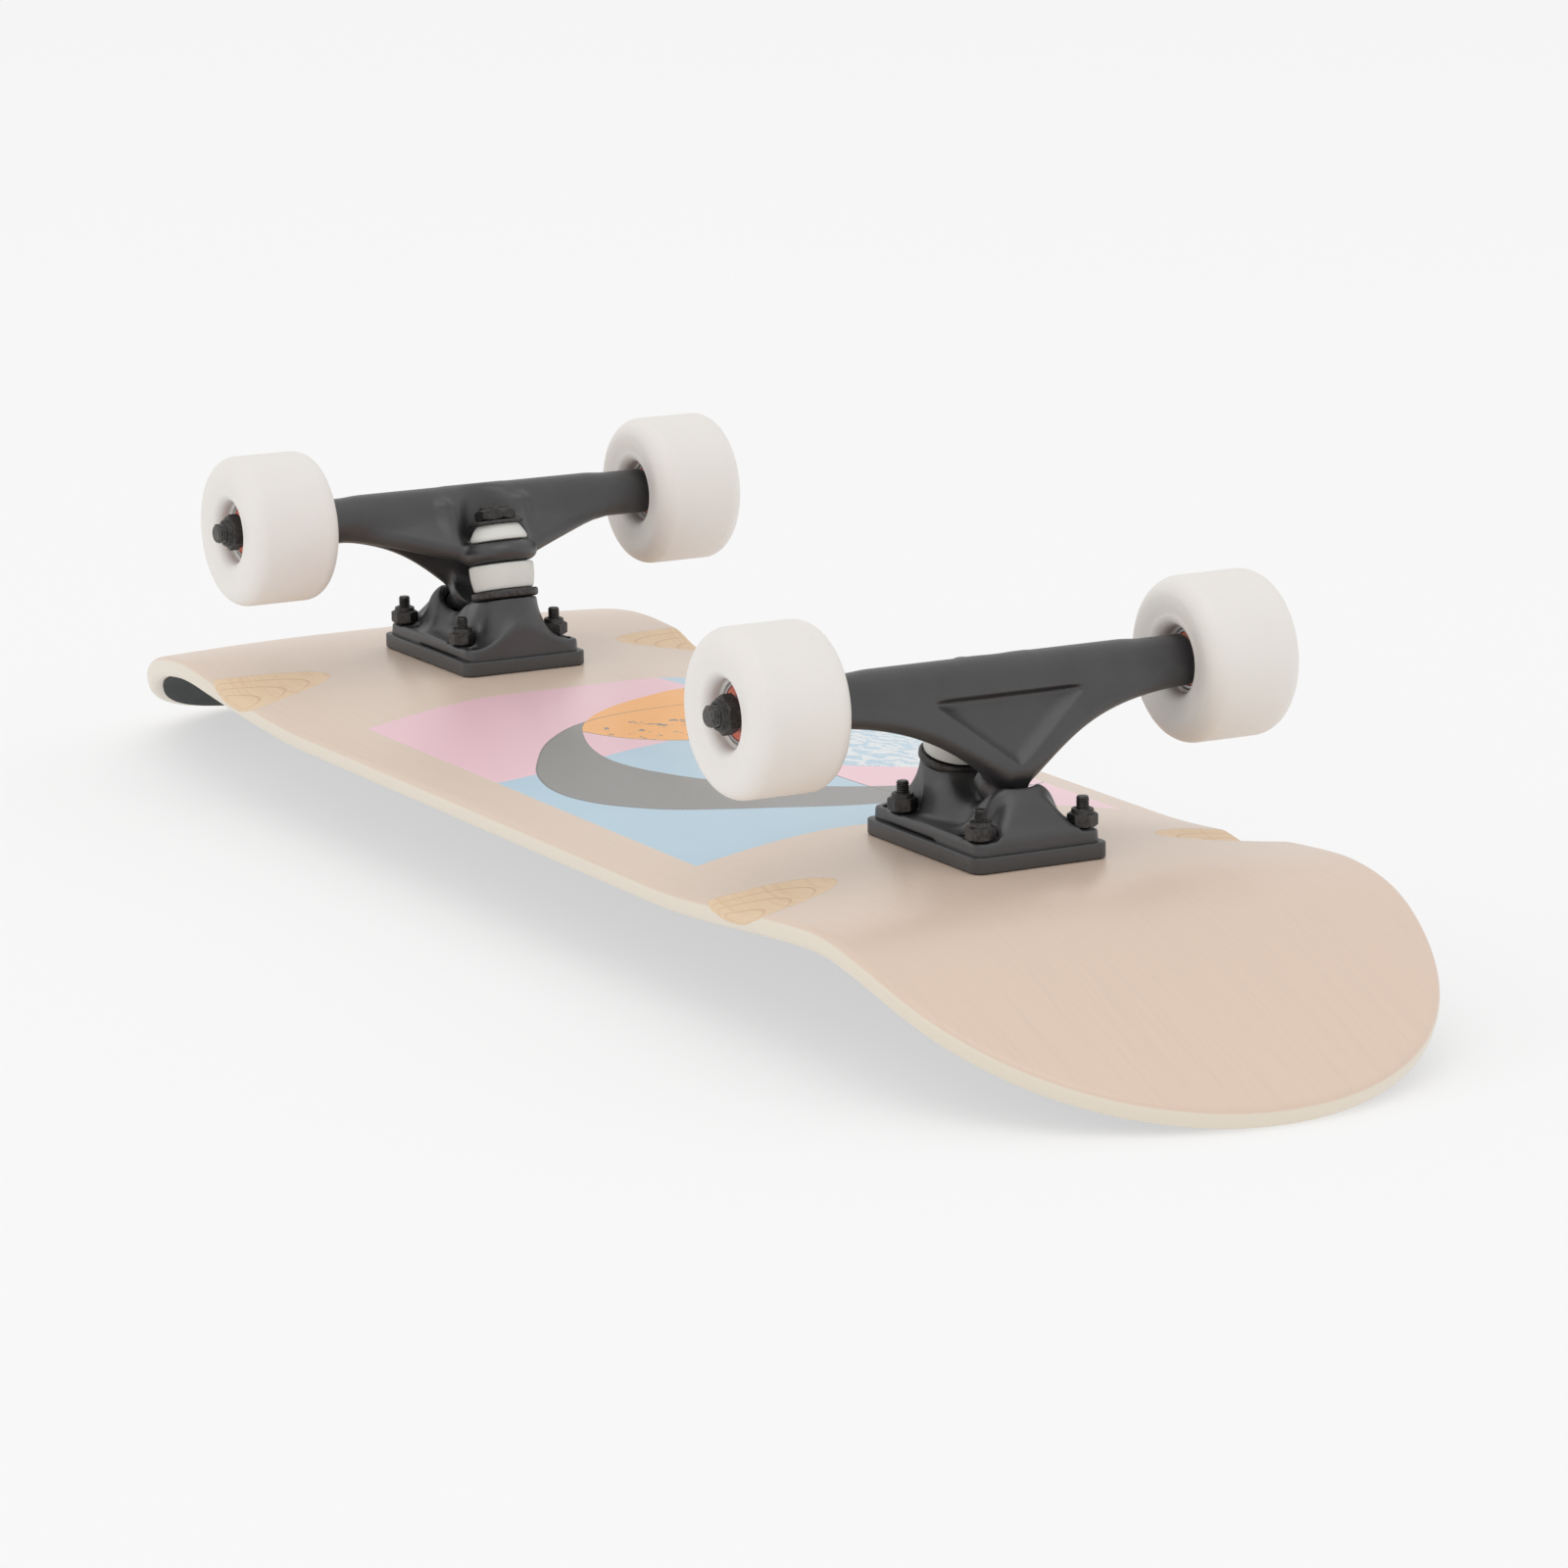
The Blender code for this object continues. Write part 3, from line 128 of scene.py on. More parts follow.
class SKATE_PG_truck(bpy.types.PropertyGroup):
    """Shape of the two castings, in a frame whose origin is on the deck under the middle of the
    riser pad, with X outboard, Y across and Z away from the deck."""

    cell: length("Cell", "Spacing of the grid that the castings are worked out on", 0.0007)
    tube_radius: length("Tube radius", "Hanger's tube", 0.0085)
    hump: length("Hump", "How far the tube's middle stands above its sides", 0.0005)
    web_lean: share("Web lean", "Outboard lean of the web's face, as run over drop", 0.34)
    web_low: length("Web low", "Height of the web's lowest point", 0.0244)
    web_rise: length("Web rise", "Rise of the web's lower edge towards the wheels", 0.029)
    web_flat: length("Web flat", "Half width of the level stretch of that edge", 0.004)
    web_spread: length("Web spread", "Width over which the edge rises", 0.027)
    web_radius: length("Web radius", "Radius of the lower edge at its sides", 0.0046)
    nose_growth: length("Nose growth", "Growth of that radius at the middle", 0.0034)
    pocket_half_width: length("Pocket half width", "Half of the pocket's upper side", 0.033)
    pocket_top: length("Pocket top", "Height of its upper side", 0.0578)
    pocket_low: length("Pocket low", "Height of its lower corner", 0.0325)
    pocket_depth: length("Pocket depth", "Deepest part of the pocket", 0.0040)
    ring_radius: length("Ring radius", "Ring round the bushings", 0.0155)
    ring_half: length("Ring half", "Half height of the ring", 0.0043)
    ring_hole: length("Ring hole", "Radius of its hole", 0.0080)
    wing_reach: length("Wing reach", "Where the flange of the ring meets the tube", 0.052)
    nut_space: length("Nut space", "Radius of the scoop above the ring", 0.0138)
    bushing_space: length("Bushing space", "Radius kept free under the ring", 0.0168)
    stem_radius: length("Stem radius", "Stem in the pivot cup", 0.0050)
    stem_length: length("Stem length", "Stem past the mouth of the cup", 0.0085)
    stem_root: length("Stem root", "Radius of the stem's flared root", 0.0090)
    mouth_distance: length("Mouth distance", "From the ring's centre to the cup's mouth", 0.0445)
    plate_thickness: length("Plate thickness", "Baseplate's plate", 0.0044)
    plate_corner: length("Plate corner", "Corner of the plate's outline", 0.0042)
    boss_radius: length("Boss radius", "Top of the kingpin's boss", 0.0125)
    boss_flare: length("Boss flare", "Growth of its radius down to the plate", 0.0044)
    housing_radius: length("Housing radius", "Pivot housing round the cup", 0.0092)
    housing_front: share("Housing front", "Slope of the housing's front, as run over drop", 0.60)
    saddle_height: length("Saddle height", "Lowest point of the saddle, over the plate", 0.0078)
    nut_scallop: length("Nut scallop", "Radius kept free round a lock nut", 0.0064)
    spare_hole: length("Spare hole", "Radius of the unused bolt holes", 0.0024)
    spare_hole_shift: length("Spare hole shift", "From a bolt to its unused hole", 0.0094)


class SKATE_PG_finishes(bpy.types.PropertyGroup):
    """Colours of the finishes, as linear light."""

    lacquer: colour("Lacquer", "Deck's stained underside", (0.735, 0.590, 0.478))
    blush: colour("Blush", "Pinker stain towards the kicks", (0.790, 0.560, 0.440))
    edge: colour("Deck edge", "Lacquered edge of the plies", (0.800, 0.720, 0.600))
    bare_wood: colour("Bare wood", "Maple in the wheel wells", (0.860, 0.660, 0.455))
    grain: colour("Grain", "Dark grain of the maple", (0.600, 0.340, 0.150))
    print_pink: colour("Print pink", "Panel", (0.870, 0.560, 0.630))
    print_blue: colour("Print blue", "Panel", (0.470, 0.650, 0.770))
    print_orange: colour("Print orange", "Panel", (0.960, 0.450, 0.120))
    print_grey: colour("Print grey", "Panel", (0.215, 0.210, 0.200))
    print_white: colour("Print white", "Panel", (0.800, 0.830, 0.850))
    grip: colour("Grip", "Grip tape", (0.030, 0.032, 0.033))
    black: colour("Black", "Painted castings", (0.020, 0.020, 0.022))
    riser: colour("Riser", "Moulded riser pads", (0.024, 0.024, 0.025))
    gunmetal: colour("Gunmetal", "Oxidised bolts, nuts and washers", (0.055, 0.052, 0.050))
    steel: colour("Steel", "Axles, races and spacers", (0.560, 0.560, 0.560))
    urethane: colour("Urethane", "Wheels", (0.840, 0.805, 0.765))
    bushing: colour("Bushing", "Bushings", (0.720, 0.720, 0.680))
    shield: colour("Shield", "Bearing shields", (0.800, 0.200, 0.130))
    nylon: colour("Nylon", "Inserts of the lock nuts", (0.075, 0.073, 0.070))
    cup: colour("Cup", "Pivot cups", (0.030, 0.030, 0.030))
    floor: colour("Floor", "Studio floor", (0.370, 0.370, 0.370))


class SKATE_PG_stage(bpy.types.PropertyGroup):
    """Camera, floor and light."""

    target: bpy.props.FloatVectorProperty(
        name="Target", description="Point the camera looks at", default=(0.0802, -0.0125, 0.0547), unit="LENGTH"
    )
    distance: length("Distance", "From the target to the camera", 2.26526)
    azimuth: share("Azimuth", "Camera's turn about Z, in degrees", 61.369)
    elevation: share("Elevation", "Camera's height angle, in degrees", 12.458)
    roll: share("Roll", "Camera's roll, in degrees", -0.581)
    lens: share("Lens", "Focal length in millimetres on a 36 mm sensor", 141.15)
    sky: share("Sky", "Strength of the all-round light", 0.86)
    softbox: share("Softbox", "Power of the overhead softbox in watts", 46.0)
    glow: share("Glow", "Light given off by the backlit floor", 0.58)


def sizes():
    return bpy.context.scene.skate_deck


def finishes():
    return bpy.context.scene.skate_finishes


# ---------------------------------------------------------------------------- surfaces to meshes


def grid_faces(rows, columns, close_rows, close_columns):
    """Four-sided faces of a grid of points, row after row; a closed direction joins its end to its start."""
    i, j = np.meshgrid(
        np.arange(rows if close_rows else rows - 1),
        np.arange(columns if close_columns else columns - 1),
        indexing="ij",
    )
    next_i, next_j = (i + 1) % rows, (j + 1) % columns
    corners = [i * columns + j, next_i * columns + j, next_i * columns + next_j, i * columns + next_j]
    return np.stack([c.ravel() for c in corners], axis=1)


def surface(points, close_rows=False, close_columns=False):
    """Points on a (rows, columns, 3) grid, and their faces."""
    rows, columns = points.shape[:2]
    return points.reshape(-1, 3), grid_faces(rows, columns, close_rows, close_columns)


def joined(*shells):
    """Several (points, faces) shells as one."""
    starts = np.cumsum([0] + [len(points) for points, _ in shells[:-1]])
    return (
        np.concatenate([points for points, _ in shells]),
        np.concatenate([faces + start for (_, faces), start in zip(shells, starts)]),
    )


def new_mesh(name, points, faces, attributes=None):
    """A mesh with welded poles and seams and with its faces turned outwards."""
    mesh = bpy.data.meshes.new(name)
    mesh.from_pydata(points, [], faces)
    for key, values in (attributes or {}).items():
        mesh.attributes.new(key, "FLOAT", "POINT").data.foreach_set("value", values)
    bm = bmesh.new()
    bm.from_mesh(mesh)
    bmesh.ops.remove_doubles(bm, verts=bm.verts, dist=1e-7)
    bmesh.ops.recalc_face_normals(bm, faces=bm.faces)
    bm.to_mesh(mesh)
    bm.free()
    return mesh


def add_piece(name, mesh, material, node=None, body=None, crease=35, across=None):
    """A piece that rides on its node's body and stands for that node, or only rides on a body.

    A soft piece gives the two bodies and the two places between them instead; these are not read, and the piece
    only keeps its place in the world, riding on no body and not bending."""
    mesh.materials.clear()
    mesh.materials.append(material)
    mesh.shade_smooth()
    mesh.set_sharp_from_angle(angle=math.radians(crease))
    piece = bpy.data.objects.new(name, mesh)
    bpy.context.scene.collection.objects.link(piece)
    if across:
        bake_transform(piece)
    else:
        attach(piece, body or BODY_OF[node])
    if node:
        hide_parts(node)
    return piece


def node_box(node):
    low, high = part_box(node)
    return np.array(low), np.array(high)


def node_centre(node):
    low, high = node_box(node)
    return (low + high) / 2


def unit(vector):
    vector = np.asarray(vector, float)
    return vector / np.linalg.norm(vector)


def lay(points, centre, direction):
    """Moves points from a local frame to one at a centre whose Z runs along a direction."""
    z = unit(direction)
    helper = (0, 0, 1) if abs(z[2]) < 0.9 else (1, 0, 0)
    x = unit(np.cross(helper, z))
    return points @ np.stack([x, np.cross(z, x), z]) + np.asarray(centre)


def turned(profile, centre, direction, steps=64):
    """A profile of (radius, height) turned about a local Z axis: x = r cos a, y = r sin a, z = h.

    A profile that leaves the axis is closed into a ring; one that starts and ends on it is a solid."""
    profile = np.asarray(profile, float)
    angle = np.linspace(0, 2 * np.pi, steps, endpoint=False)
    radius, height = profile[:, :1], profile[:, 1:]
    points = np.stack(
        [radius * np.cos(angle), radius * np.sin(angle), height + 0 * angle], axis=-1
    )
    points, faces = surface(points, close_rows=profile[0, 0] > 0, close_columns=True)
    return lay(points, centre, direction), faces


def bend(centre, radius, start, end, count=6):
    """Points on an arc in the (radius, height) plane, its angles in degrees from the radius axis."""
    angle = np.radians(np.linspace(start, end, count + 1))
    return np.stack([centre[0] + radius * np.cos(angle), centre[1] + radius * np.sin(angle)], axis=1)


def rounded_ring(inner, outer, low, high, edge):
    """Section of a ring from its bore round its outer side, all four corners rounded."""
    return np.concatenate([
        bend((inner + edge, low + edge), edge, 180, 270, 3),
        bend((outer - edge, low + edge), edge, 270, 360, 4),
        bend((outer - edge, high - edge), edge, 0, 90, 4),
        bend((inner + edge, high - edge), edge, 90, 180, 3),
    ])


def hexagon(flats, angle):
    """Distance from the centre to a hexagon's side at an angle, by its width across flats."""
    from_side = np.mod(angle + np.pi / 6, np.pi / 3) - np.pi / 6
    return flats / 2 / np.cos(from_side)


def hex_nut(flats, bore, hex_height, collar, centre, direction, steps=72):
    """Lock nut: at each height its radius is the smaller of a hexagon's and of a 30 degree cone's,
    which cuts the corners; a round collar stands on its outer face. Its local Z starts at its seat."""
    angle = np.linspace(0, 2 * np.pi, steps, endpoint=False)
    hexagonal = hexagon(flats, angle)
    face = flats / 2 * 0.96
    corner = flats / math.sqrt(3) - face
    rise = corner * math.tan(math.radians(30))
    rows = [np.full(steps, bore)]
    heights = [0.0]
    for t in np.linspace(0, 1, 6):
        rows.append(np.minimum(hexagonal, face + corner * t))
        heights.append(rise * t)
    for t in np.linspace(1, 0, 6):
        rows.append(np.minimum(hexagonal, face + corner * t))
        heights.append(hex_height - rise * t)
    collar_radius, collar_height = collar
    top = hex_height + collar_height
    blend = collar_height * 0.3
    outline = [(collar_radius + blend, hex_height), (collar_radius + blend * 0.3, hex_height + blend * 0.3)]
    outline += [(collar_radius, hex_height + blend)]
    outline += list(bend((collar_radius - blend, top - blend), blend, 0, 90, 4))
    outline += [(bore + 0.0004, top), (bore, top - 0.0004)]
    for radius, height in outline:
        rows.append(np.full(steps, radius))
        heights.append(height)
    radius = np.stack(rows)
    height = np.array(heights)[:, None] + np.zeros(steps)
    points = np.stack([radius * np.cos(angle), radius * np.sin(angle), height], axis=-1)
    points, faces = surface(points, close_rows=True, close_columns=True)
    return lay(points, centre, direction), faces


def threaded_rod(radius, pitch, low, high, threads, centre, direction, steps=20):
    """Rod with helical threads over stretches of it: the radius falls by a triangle wave of
    height / pitch minus the turn, faded out at the ends of each stretch and at the chamfered tips."""
    stretches = [np.arange(start, end, pitch / 6) for start, end in threads]
    height = np.unique(np.concatenate([[low, high, low + 0.0007, high - 0.0007], *stretches]))
    height = height[(height >= low) & (height <= high)]
    angle = np.linspace(0, 2 * np.pi, steps, endpoint=False)
    wave = np.abs(2 * np.mod(height[:, None] / pitch - angle / (2 * np.pi), 1) - 1)
    inside = np.zeros(len(height))
    for start, end in threads:
        ramp = np.clip(np.minimum(height - start, end - height) / pitch, 0, 1)
        inside = np.maximum(inside, ramp)
    tip = np.clip(np.minimum(height - low, high - height) / 0.0007, 0, 1)
    r = (radius - 0.55 * pitch * wave * inside[:, None]) * (0.78 + 0.22 * tip[:, None])
    points = np.stack([r * np.cos(angle), r * np.sin(angle), height[:, None] + 0 * angle], axis=-1)
    pole = np.zeros((1, steps, 3))
    points = np.concatenate([pole + (0, 0, low), points, pole + (0, 0, high)])
    points, faces = surface(points, close_columns=True)
    return lay(points, centre, direction), faces


# ------------------------------------------------------------------------------ shader expressions


class Wire:
    """An output socket that takes part in Python expressions, each of which adds its Math node."""

    def __init__(self, graph, socket):
        self.graph = graph
        self.socket = socket

    def math(self, operation, *values):
        return self.graph.node("ShaderNodeMath", {"operation": operation}, dict(enumerate(values)))

    def __add__(self, other):
        return self.math("ADD", self, other)

    def __radd__(self, other):
        return self.math("ADD", other, self)

    def __sub__(self, other):
        return self.math("SUBTRACT", self, other)

    def __rsub__(self, other):
        return self.math("SUBTRACT", other, self)

    def __mul__(self, other):
        return self.math("MULTIPLY", self, other)

    def __rmul__(self, other):
        return self.math("MULTIPLY", other, self)

    def __truediv__(self, other):
        return self.math("DIVIDE", self, other)

    def __lt__(self, other):
        return self.math("LESS_THAN", self, other)

    def __gt__(self, other):
        return self.math("GREATER_THAN", self, other)

    def __abs__(self):
        return self.math("ABSOLUTE", self)

    def sin(self):
        return self.math("SINE", self)

    def clipped(self, low, high):
        """0 at low and 1 at high, straight between and held outside."""
        result = (self - low) / (high - low)
        result.socket.node.use_clamp = True
        return result


class Graph:
    """The nodes of one material."""

    def __init__(self, name, slot):
        self.material = bpy.data.materials.new(name)
        self.material["slot"] = slot
        self.material.use_nodes = True
        self.tree = self.material.node_tree
        self.shader = self.tree.nodes["Principled BSDF"]

    def node(self, kind, settings=None, inputs=None, output=0):
        """Adds a node: its settings first, then the values or links of its sockets."""
        node = self.tree.nodes.new(kind)
        for key, value in (settings or {}).items():
            if key == "stops":
                self.fill_ramp(node.color_ramp, value)
            else:
                setattr(node, key, value)
        for key, value in (inputs or {}).items():
            self.feed(node.inputs[key], value)
        return Wire(self, node.outputs[output])

    def feed(self, socket, value):
        if isinstance(value, Wire):
            self.tree.links.new(value.socket, socket)
        else:
            socket.default_value = (*value[:3], 1) if socket.type == "RGBA" else value

    def fill_ramp(self, ramp, stops):
        while len(ramp.elements) < len(stops):
            ramp.elements.new(1)
        for element, (position, value) in zip(ramp.elements, stops):
            element.position = position
            element.color = (*value, 1)

    def mix(self, first, second, factor):
        """Colour that goes from the first to the second with the factor."""
        return self.node("ShaderNodeMix", {"data_type": "RGBA"}, {0: factor, 6: first, 7: second}, 2)

    def place(self):
        return self.node("ShaderNodeTexCoord", output="Object")

    def parts(self, vector):
        """The x, y and z of a vector."""
        split = self.node("ShaderNodeSeparateXYZ", {}, {0: vector}).socket.node
        return [Wire(self, split.outputs[i]) for i in range(3)]

    def joined(self, x, y, z):
        return self.node("ShaderNodeCombineXYZ", {}, {0: x, 1: y, 2: z})

    def noise(self, vector, scale, detail=3.0, roughness=0.5, distortion=0.0):
        inputs = {"Vector": vector, "Scale": scale, "Detail": detail, "Roughness": roughness}
        inputs["Distortion"] = distortion
        return self.node("ShaderNodeTexNoise", {}, inputs)

    def stretched(self, vector, scale, turn=0.0):
        """Coordinates turned about Z by degrees, and then scaled."""
        mapping = {"Vector": vector, "Scale": scale, "Rotation": (0, 0, math.radians(turn))}
        return self.node("ShaderNodeMapping", {"vector_type": "POINT"}, mapping)

    def attribute(self, name):
        return self.node("ShaderNodeAttribute", {"attribute_name": name}, {}, "Fac")

    def bump(self, height, depth, normal=None):
        inputs = {"Height": height, "Distance": depth, "Strength": 1.0}
        if normal is not None:
            inputs["Normal"] = normal
        return self.node("ShaderNodeBump", {}, inputs)

    def finish(self, **sockets):
        """Feeds the shader; an underscore in a name stands for a space."""
        for key, value in sockets.items():
            self.feed(self.shader.inputs[key.replace("_", " ")], value)
        return self.material


def shaded(colour_value, factor):
    return tuple(c * factor for c in colour_value)


# -------------------------------------------------------------------------------------- finishes


def painted_casting():
    """Matte black paint over cast metal: a fine orange peel, and paler where it is rubbed."""
    g = Graph("painted casting", "truck")
    place = g.place()
    black = finishes().black
    cloud = g.noise(place, 60.0, 2.0)
    peel = g.noise(place, 700.0, 2.0)
    grit = g.noise(place, 5200.0, 1.0)
    tone = g.mix(shaded(black, 0.85), shaded(black, 1.25), cloud.clipped(0.35, 0.65))
    return g.finish(
        Base_Color=tone,
        Roughness=0.33 + 0.10 * cloud,
        Normal=g.bump(peel + 0.35 * grit, 0.00008),
        Specular_IOR_Level=0.95,
    )


def moulded_riser():
    """Hard moulded plastic with a satin surface and faint flow marks."""
    g = Graph("moulded riser", "riser")
    place = g.place()
    black = finishes().riser
    flow = g.noise(g.stretched(place, (40, 40, 400)), 1.0, 3.0)
    peel = g.noise(place, 2200.0, 2.0)
    tone = g.mix(shaded(black, 0.9), shaded(black, 1.3), flow)
    return g.finish(
        Base_Color=tone,
        Roughness=0.38 + 0.12 * flow,
        Normal=g.bump(peel, 0.00004),
        Specular_IOR_Level=0.9,
    )


def oxidised_steel(name="oxidised steel", slot="bolt", tint=1.0):
    """Blackened fasteners: mottled brownish oxide that is shinier where it is worn."""
    g = Graph(name, slot)
    place = g.place()
    dark = shaded(finishes().gunmetal, tint)
    mottle = g.noise(place, 700.0, 4.0, 0.6)
    scratch = g.noise(g.stretched(place, (400, 400, 4000)), 1.0, 2.0)
    tone = g.mix(shaded(dark, 0.7), shaded(dark, 1.6), mottle.clipped(0.35, 0.7))
    return g.finish(
        Base_Color=tone,
        Metallic=0.75,
        Roughness=0.34 + 0.22 * mottle,
        Normal=g.bump(mottle + 0.3 * scratch, 0.00002),
    )


def turned_steel(name="turned steel", slot="bearing", tint=1.0):
    """Bright ground steel with fine concentric marks about the axle."""
    g = Graph(name, slot)
    place = g.place()
    bright = shaded(finishes().steel, tint)
    marks = g.noise(g.stretched(place, (900, 14000, 900)), 1.0, 2.0)
    tone = g.mix(shaded(bright, 0.8), bright, marks)
    return g.finish(Base_Color=tone, Metallic=1.0, Roughness=0.24 + 0.12 * marks)


def wheel_urethane():
    """Cast urethane, a little translucent: warm white, faint clouds, and a trace of dust."""
    g = Graph("wheel urethane", "wheel")
    place = g.place()
    white = finishes().urethane
    cloud = g.noise(place, 45.0, 3.0)
    dust = g.noise(place, 1600.0, 2.0)
    tone = g.mix(shaded(white, 0.965), shaded(white, 1.02), cloud)
    tone = g.mix(tone, shaded(white, 0.88), 0.25 * dust.clipped(0.62, 0.75))
    return g.finish(
        Base_Color=tone,
        Roughness=0.42 + 0.10 * cloud,
        Normal=g.bump(cloud * 0.4 + 0.2 * dust, 0.00008),
        Subsurface_Weight=0.12,
        Subsurface_Radius=(0.004, 0.003, 0.002),
        Subsurface_Scale=1.0,
    )


def bushing_urethane():
    """Soft cast urethane, with faint rings pressed in by its washers."""
    g = Graph("bushing urethane", "bushing")
    place = g.place()
    white = finishes().bushing
    cloud = g.noise(place, 120.0, 3.0)
    speck = g.noise(place, 2600.0, 2.0)
    tone = g.mix(shaded(white, 0.93), shaded(white, 1.04), cloud)
    return g.finish(Base_Color=tone, Roughness=0.36 + 0.14 * speck, Normal=g.bump(speck, 0.00003))


def coated_shield():
    """Coral coating on the thin pressed shields of the bearings."""
    g = Graph("coated shield", "bearing")
    place = g.place()
    coral = finishes().shield
    speck = g.noise(place, 3000.0, 2.0)
    cloud = g.noise(place, 260.0, 2.0)
    tone = g.mix(shaded(coral, 0.85), shaded(coral, 1.1), cloud)
    return g.finish(Base_Color=tone, Roughness=0.34 + 0.10 * cloud, Normal=g.bump(speck, 0.00003))


def nylon_insert():
    """Dull dyed nylon of the nuts' locking rings."""
    g = Graph("nylon insert", "bolt")
    place = g.place()
    base = finishes().nylon
    speck = g.noise(place, 2400.0, 2.0)
    tone = g.mix(shaded(base, 0.85), shaded(base, 1.2), speck)
    return g.finish(Base_Color=tone, Roughness=0.5 + 0.1 * speck, Normal=g.bump(speck, 0.00003))


def cup_plastic():
    """Tough black plastic of the pivot cups."""
    g = Graph("cup plastic", "cup")
    place = g.place()
    base = finishes().cup
    speck = g.noise(place, 1800.0, 2.0)
    tone = g.mix(shaded(base, 0.85), shaded(base, 1.3), speck)
    return g.finish(Base_Color=tone, Roughness=0.52 + 0.1 * speck, Normal=g.bump(speck, 0.00004))


def grip_grit():
    """Sharp grit on a dark sheet: dense grains, a few of which are shinier and carry a painted highlight of pale
    grey colour.
    """
    g = Graph("grip grit", "grip")
    place = g.place()
    dark = finishes().grip
    grain = g.noise(place, 2600.0, 3.0, 0.7)
    shine_and_painted_glint = g.noise(place, 3900.0, 1.0)
    cloud = g.noise(place, 24.0, 3.0)
    tone = g.mix(shaded(dark, 0.6), shaded(dark, 1.7), grain)
    tone = g.mix(tone, shaded(dark, 1.35), 0.4 * cloud)
    # painted highlight: the shiny grains are painted pale grey, and their roughness is lower
    tone = g.mix(tone, (0.30, 0.30, 0.31), 0.7 * (shine_and_painted_glint > 0.72))
    return g.finish(Base_Color=tone, Roughness=0.86 - 0.4 * (shine_and_painted_glint > 0.72), Normal=g.bump(grain, 0.0004))


def disc_mask(g, x, y, centre, radius):
    """How far a point lies inside a circle, in metres: above 0 inside, and below 0 outside."""
    dx, dy = x - centre[0], y - centre[1]
    return radius - (dx * dx + dy * dy).math("SQRT", dx * dx + dy * dy)


def printed_panel(g, place, ground):
    """Abstract colour blocks printed over the stained wood between the trucks."""
    f = finishes()
    x, y, _ = g.parts(place)
    wobble = 0.006 * (g.noise(place, 16.0, 1.0) - 0.5)
    thread = g.noise(place, 180.0, 4.0, 0.65)
    bloom = disc_mask(g, x, y, (-0.098, -0.055), 0.098) + wobble
    hill = disc_mask(g, x, y, (0.070, 0.175), 0.165) + wobble
    sweep = disc_mask(g, x, y, (0.030, 0.020), 0.098) + wobble
    hollow = disc_mask(g, x, y, (0.006, 0.058), 0.104) + wobble
    sun = disc_mask(g, x, y, (-0.052, 0.015), 0.050) + wobble
    foam = disc_mask(g, x, y, (0.036, 0.056), 0.044) + wobble

    colour_now = g.mix(f.print_blue, shaded(f.print_blue, 0.94), g.noise(place, 40.0, 2.0))
    colour_now = g.mix(colour_now, f.print_pink, bloom > 0)
    colour_now = g.mix(colour_now, shaded(f.print_pink, 1.05), hill > 0)
    stripes = ((x + 0.6 * y) * 2600.0).sin() * 0.5 + 0.5
    slate = g.mix(f.print_grey, shaded(f.print_grey, 1.5), 0.6 * stripes)
    colour_now = g.mix(colour_now, slate, (sweep > 0) * (1 - (hollow > 0)))
    splash = g.mix(f.print_blue, f.print_white, thread > 0.5)
    colour_now = g.mix(colour_now, splash, (foam > 0) * (hollow > 0))
    ember = g.mix(f.print_orange, f.print_grey, (thread > 0.60) * (x > -0.050))
    colour_now = g.mix(colour_now, ember, (sun > 0) * (hollow > 0))

    line = 0.00035
    outline = (abs(bloom) < line).math("MAXIMUM", abs(hill) < line, abs(sweep) < line)
    outline = outline.math("MAXIMUM", outline, (abs(sun) < line) * (hollow > 0))
    colour_now = g.mix(colour_now, shaded(f.print_grey, 0.6), outline * 0.8)

    inside = (x > -0.1208) * (x < 0.1532) * (abs(y) < 0.088)
    edge_fade = 1 - 0.05 * g.noise(place, 900.0, 2.0)
    return g.mix(ground, colour_now, inside * edge_fade)


def veneer_lines(g, place, turn):
    """Fine long grain of a sliced veneer, as a wave that noise bends."""
    bent = g.stretched(place, (2.2, 60.0, 2.2), turn)
    return g.noise(bent, 9.0, 5.0, 0.6, 0.4)


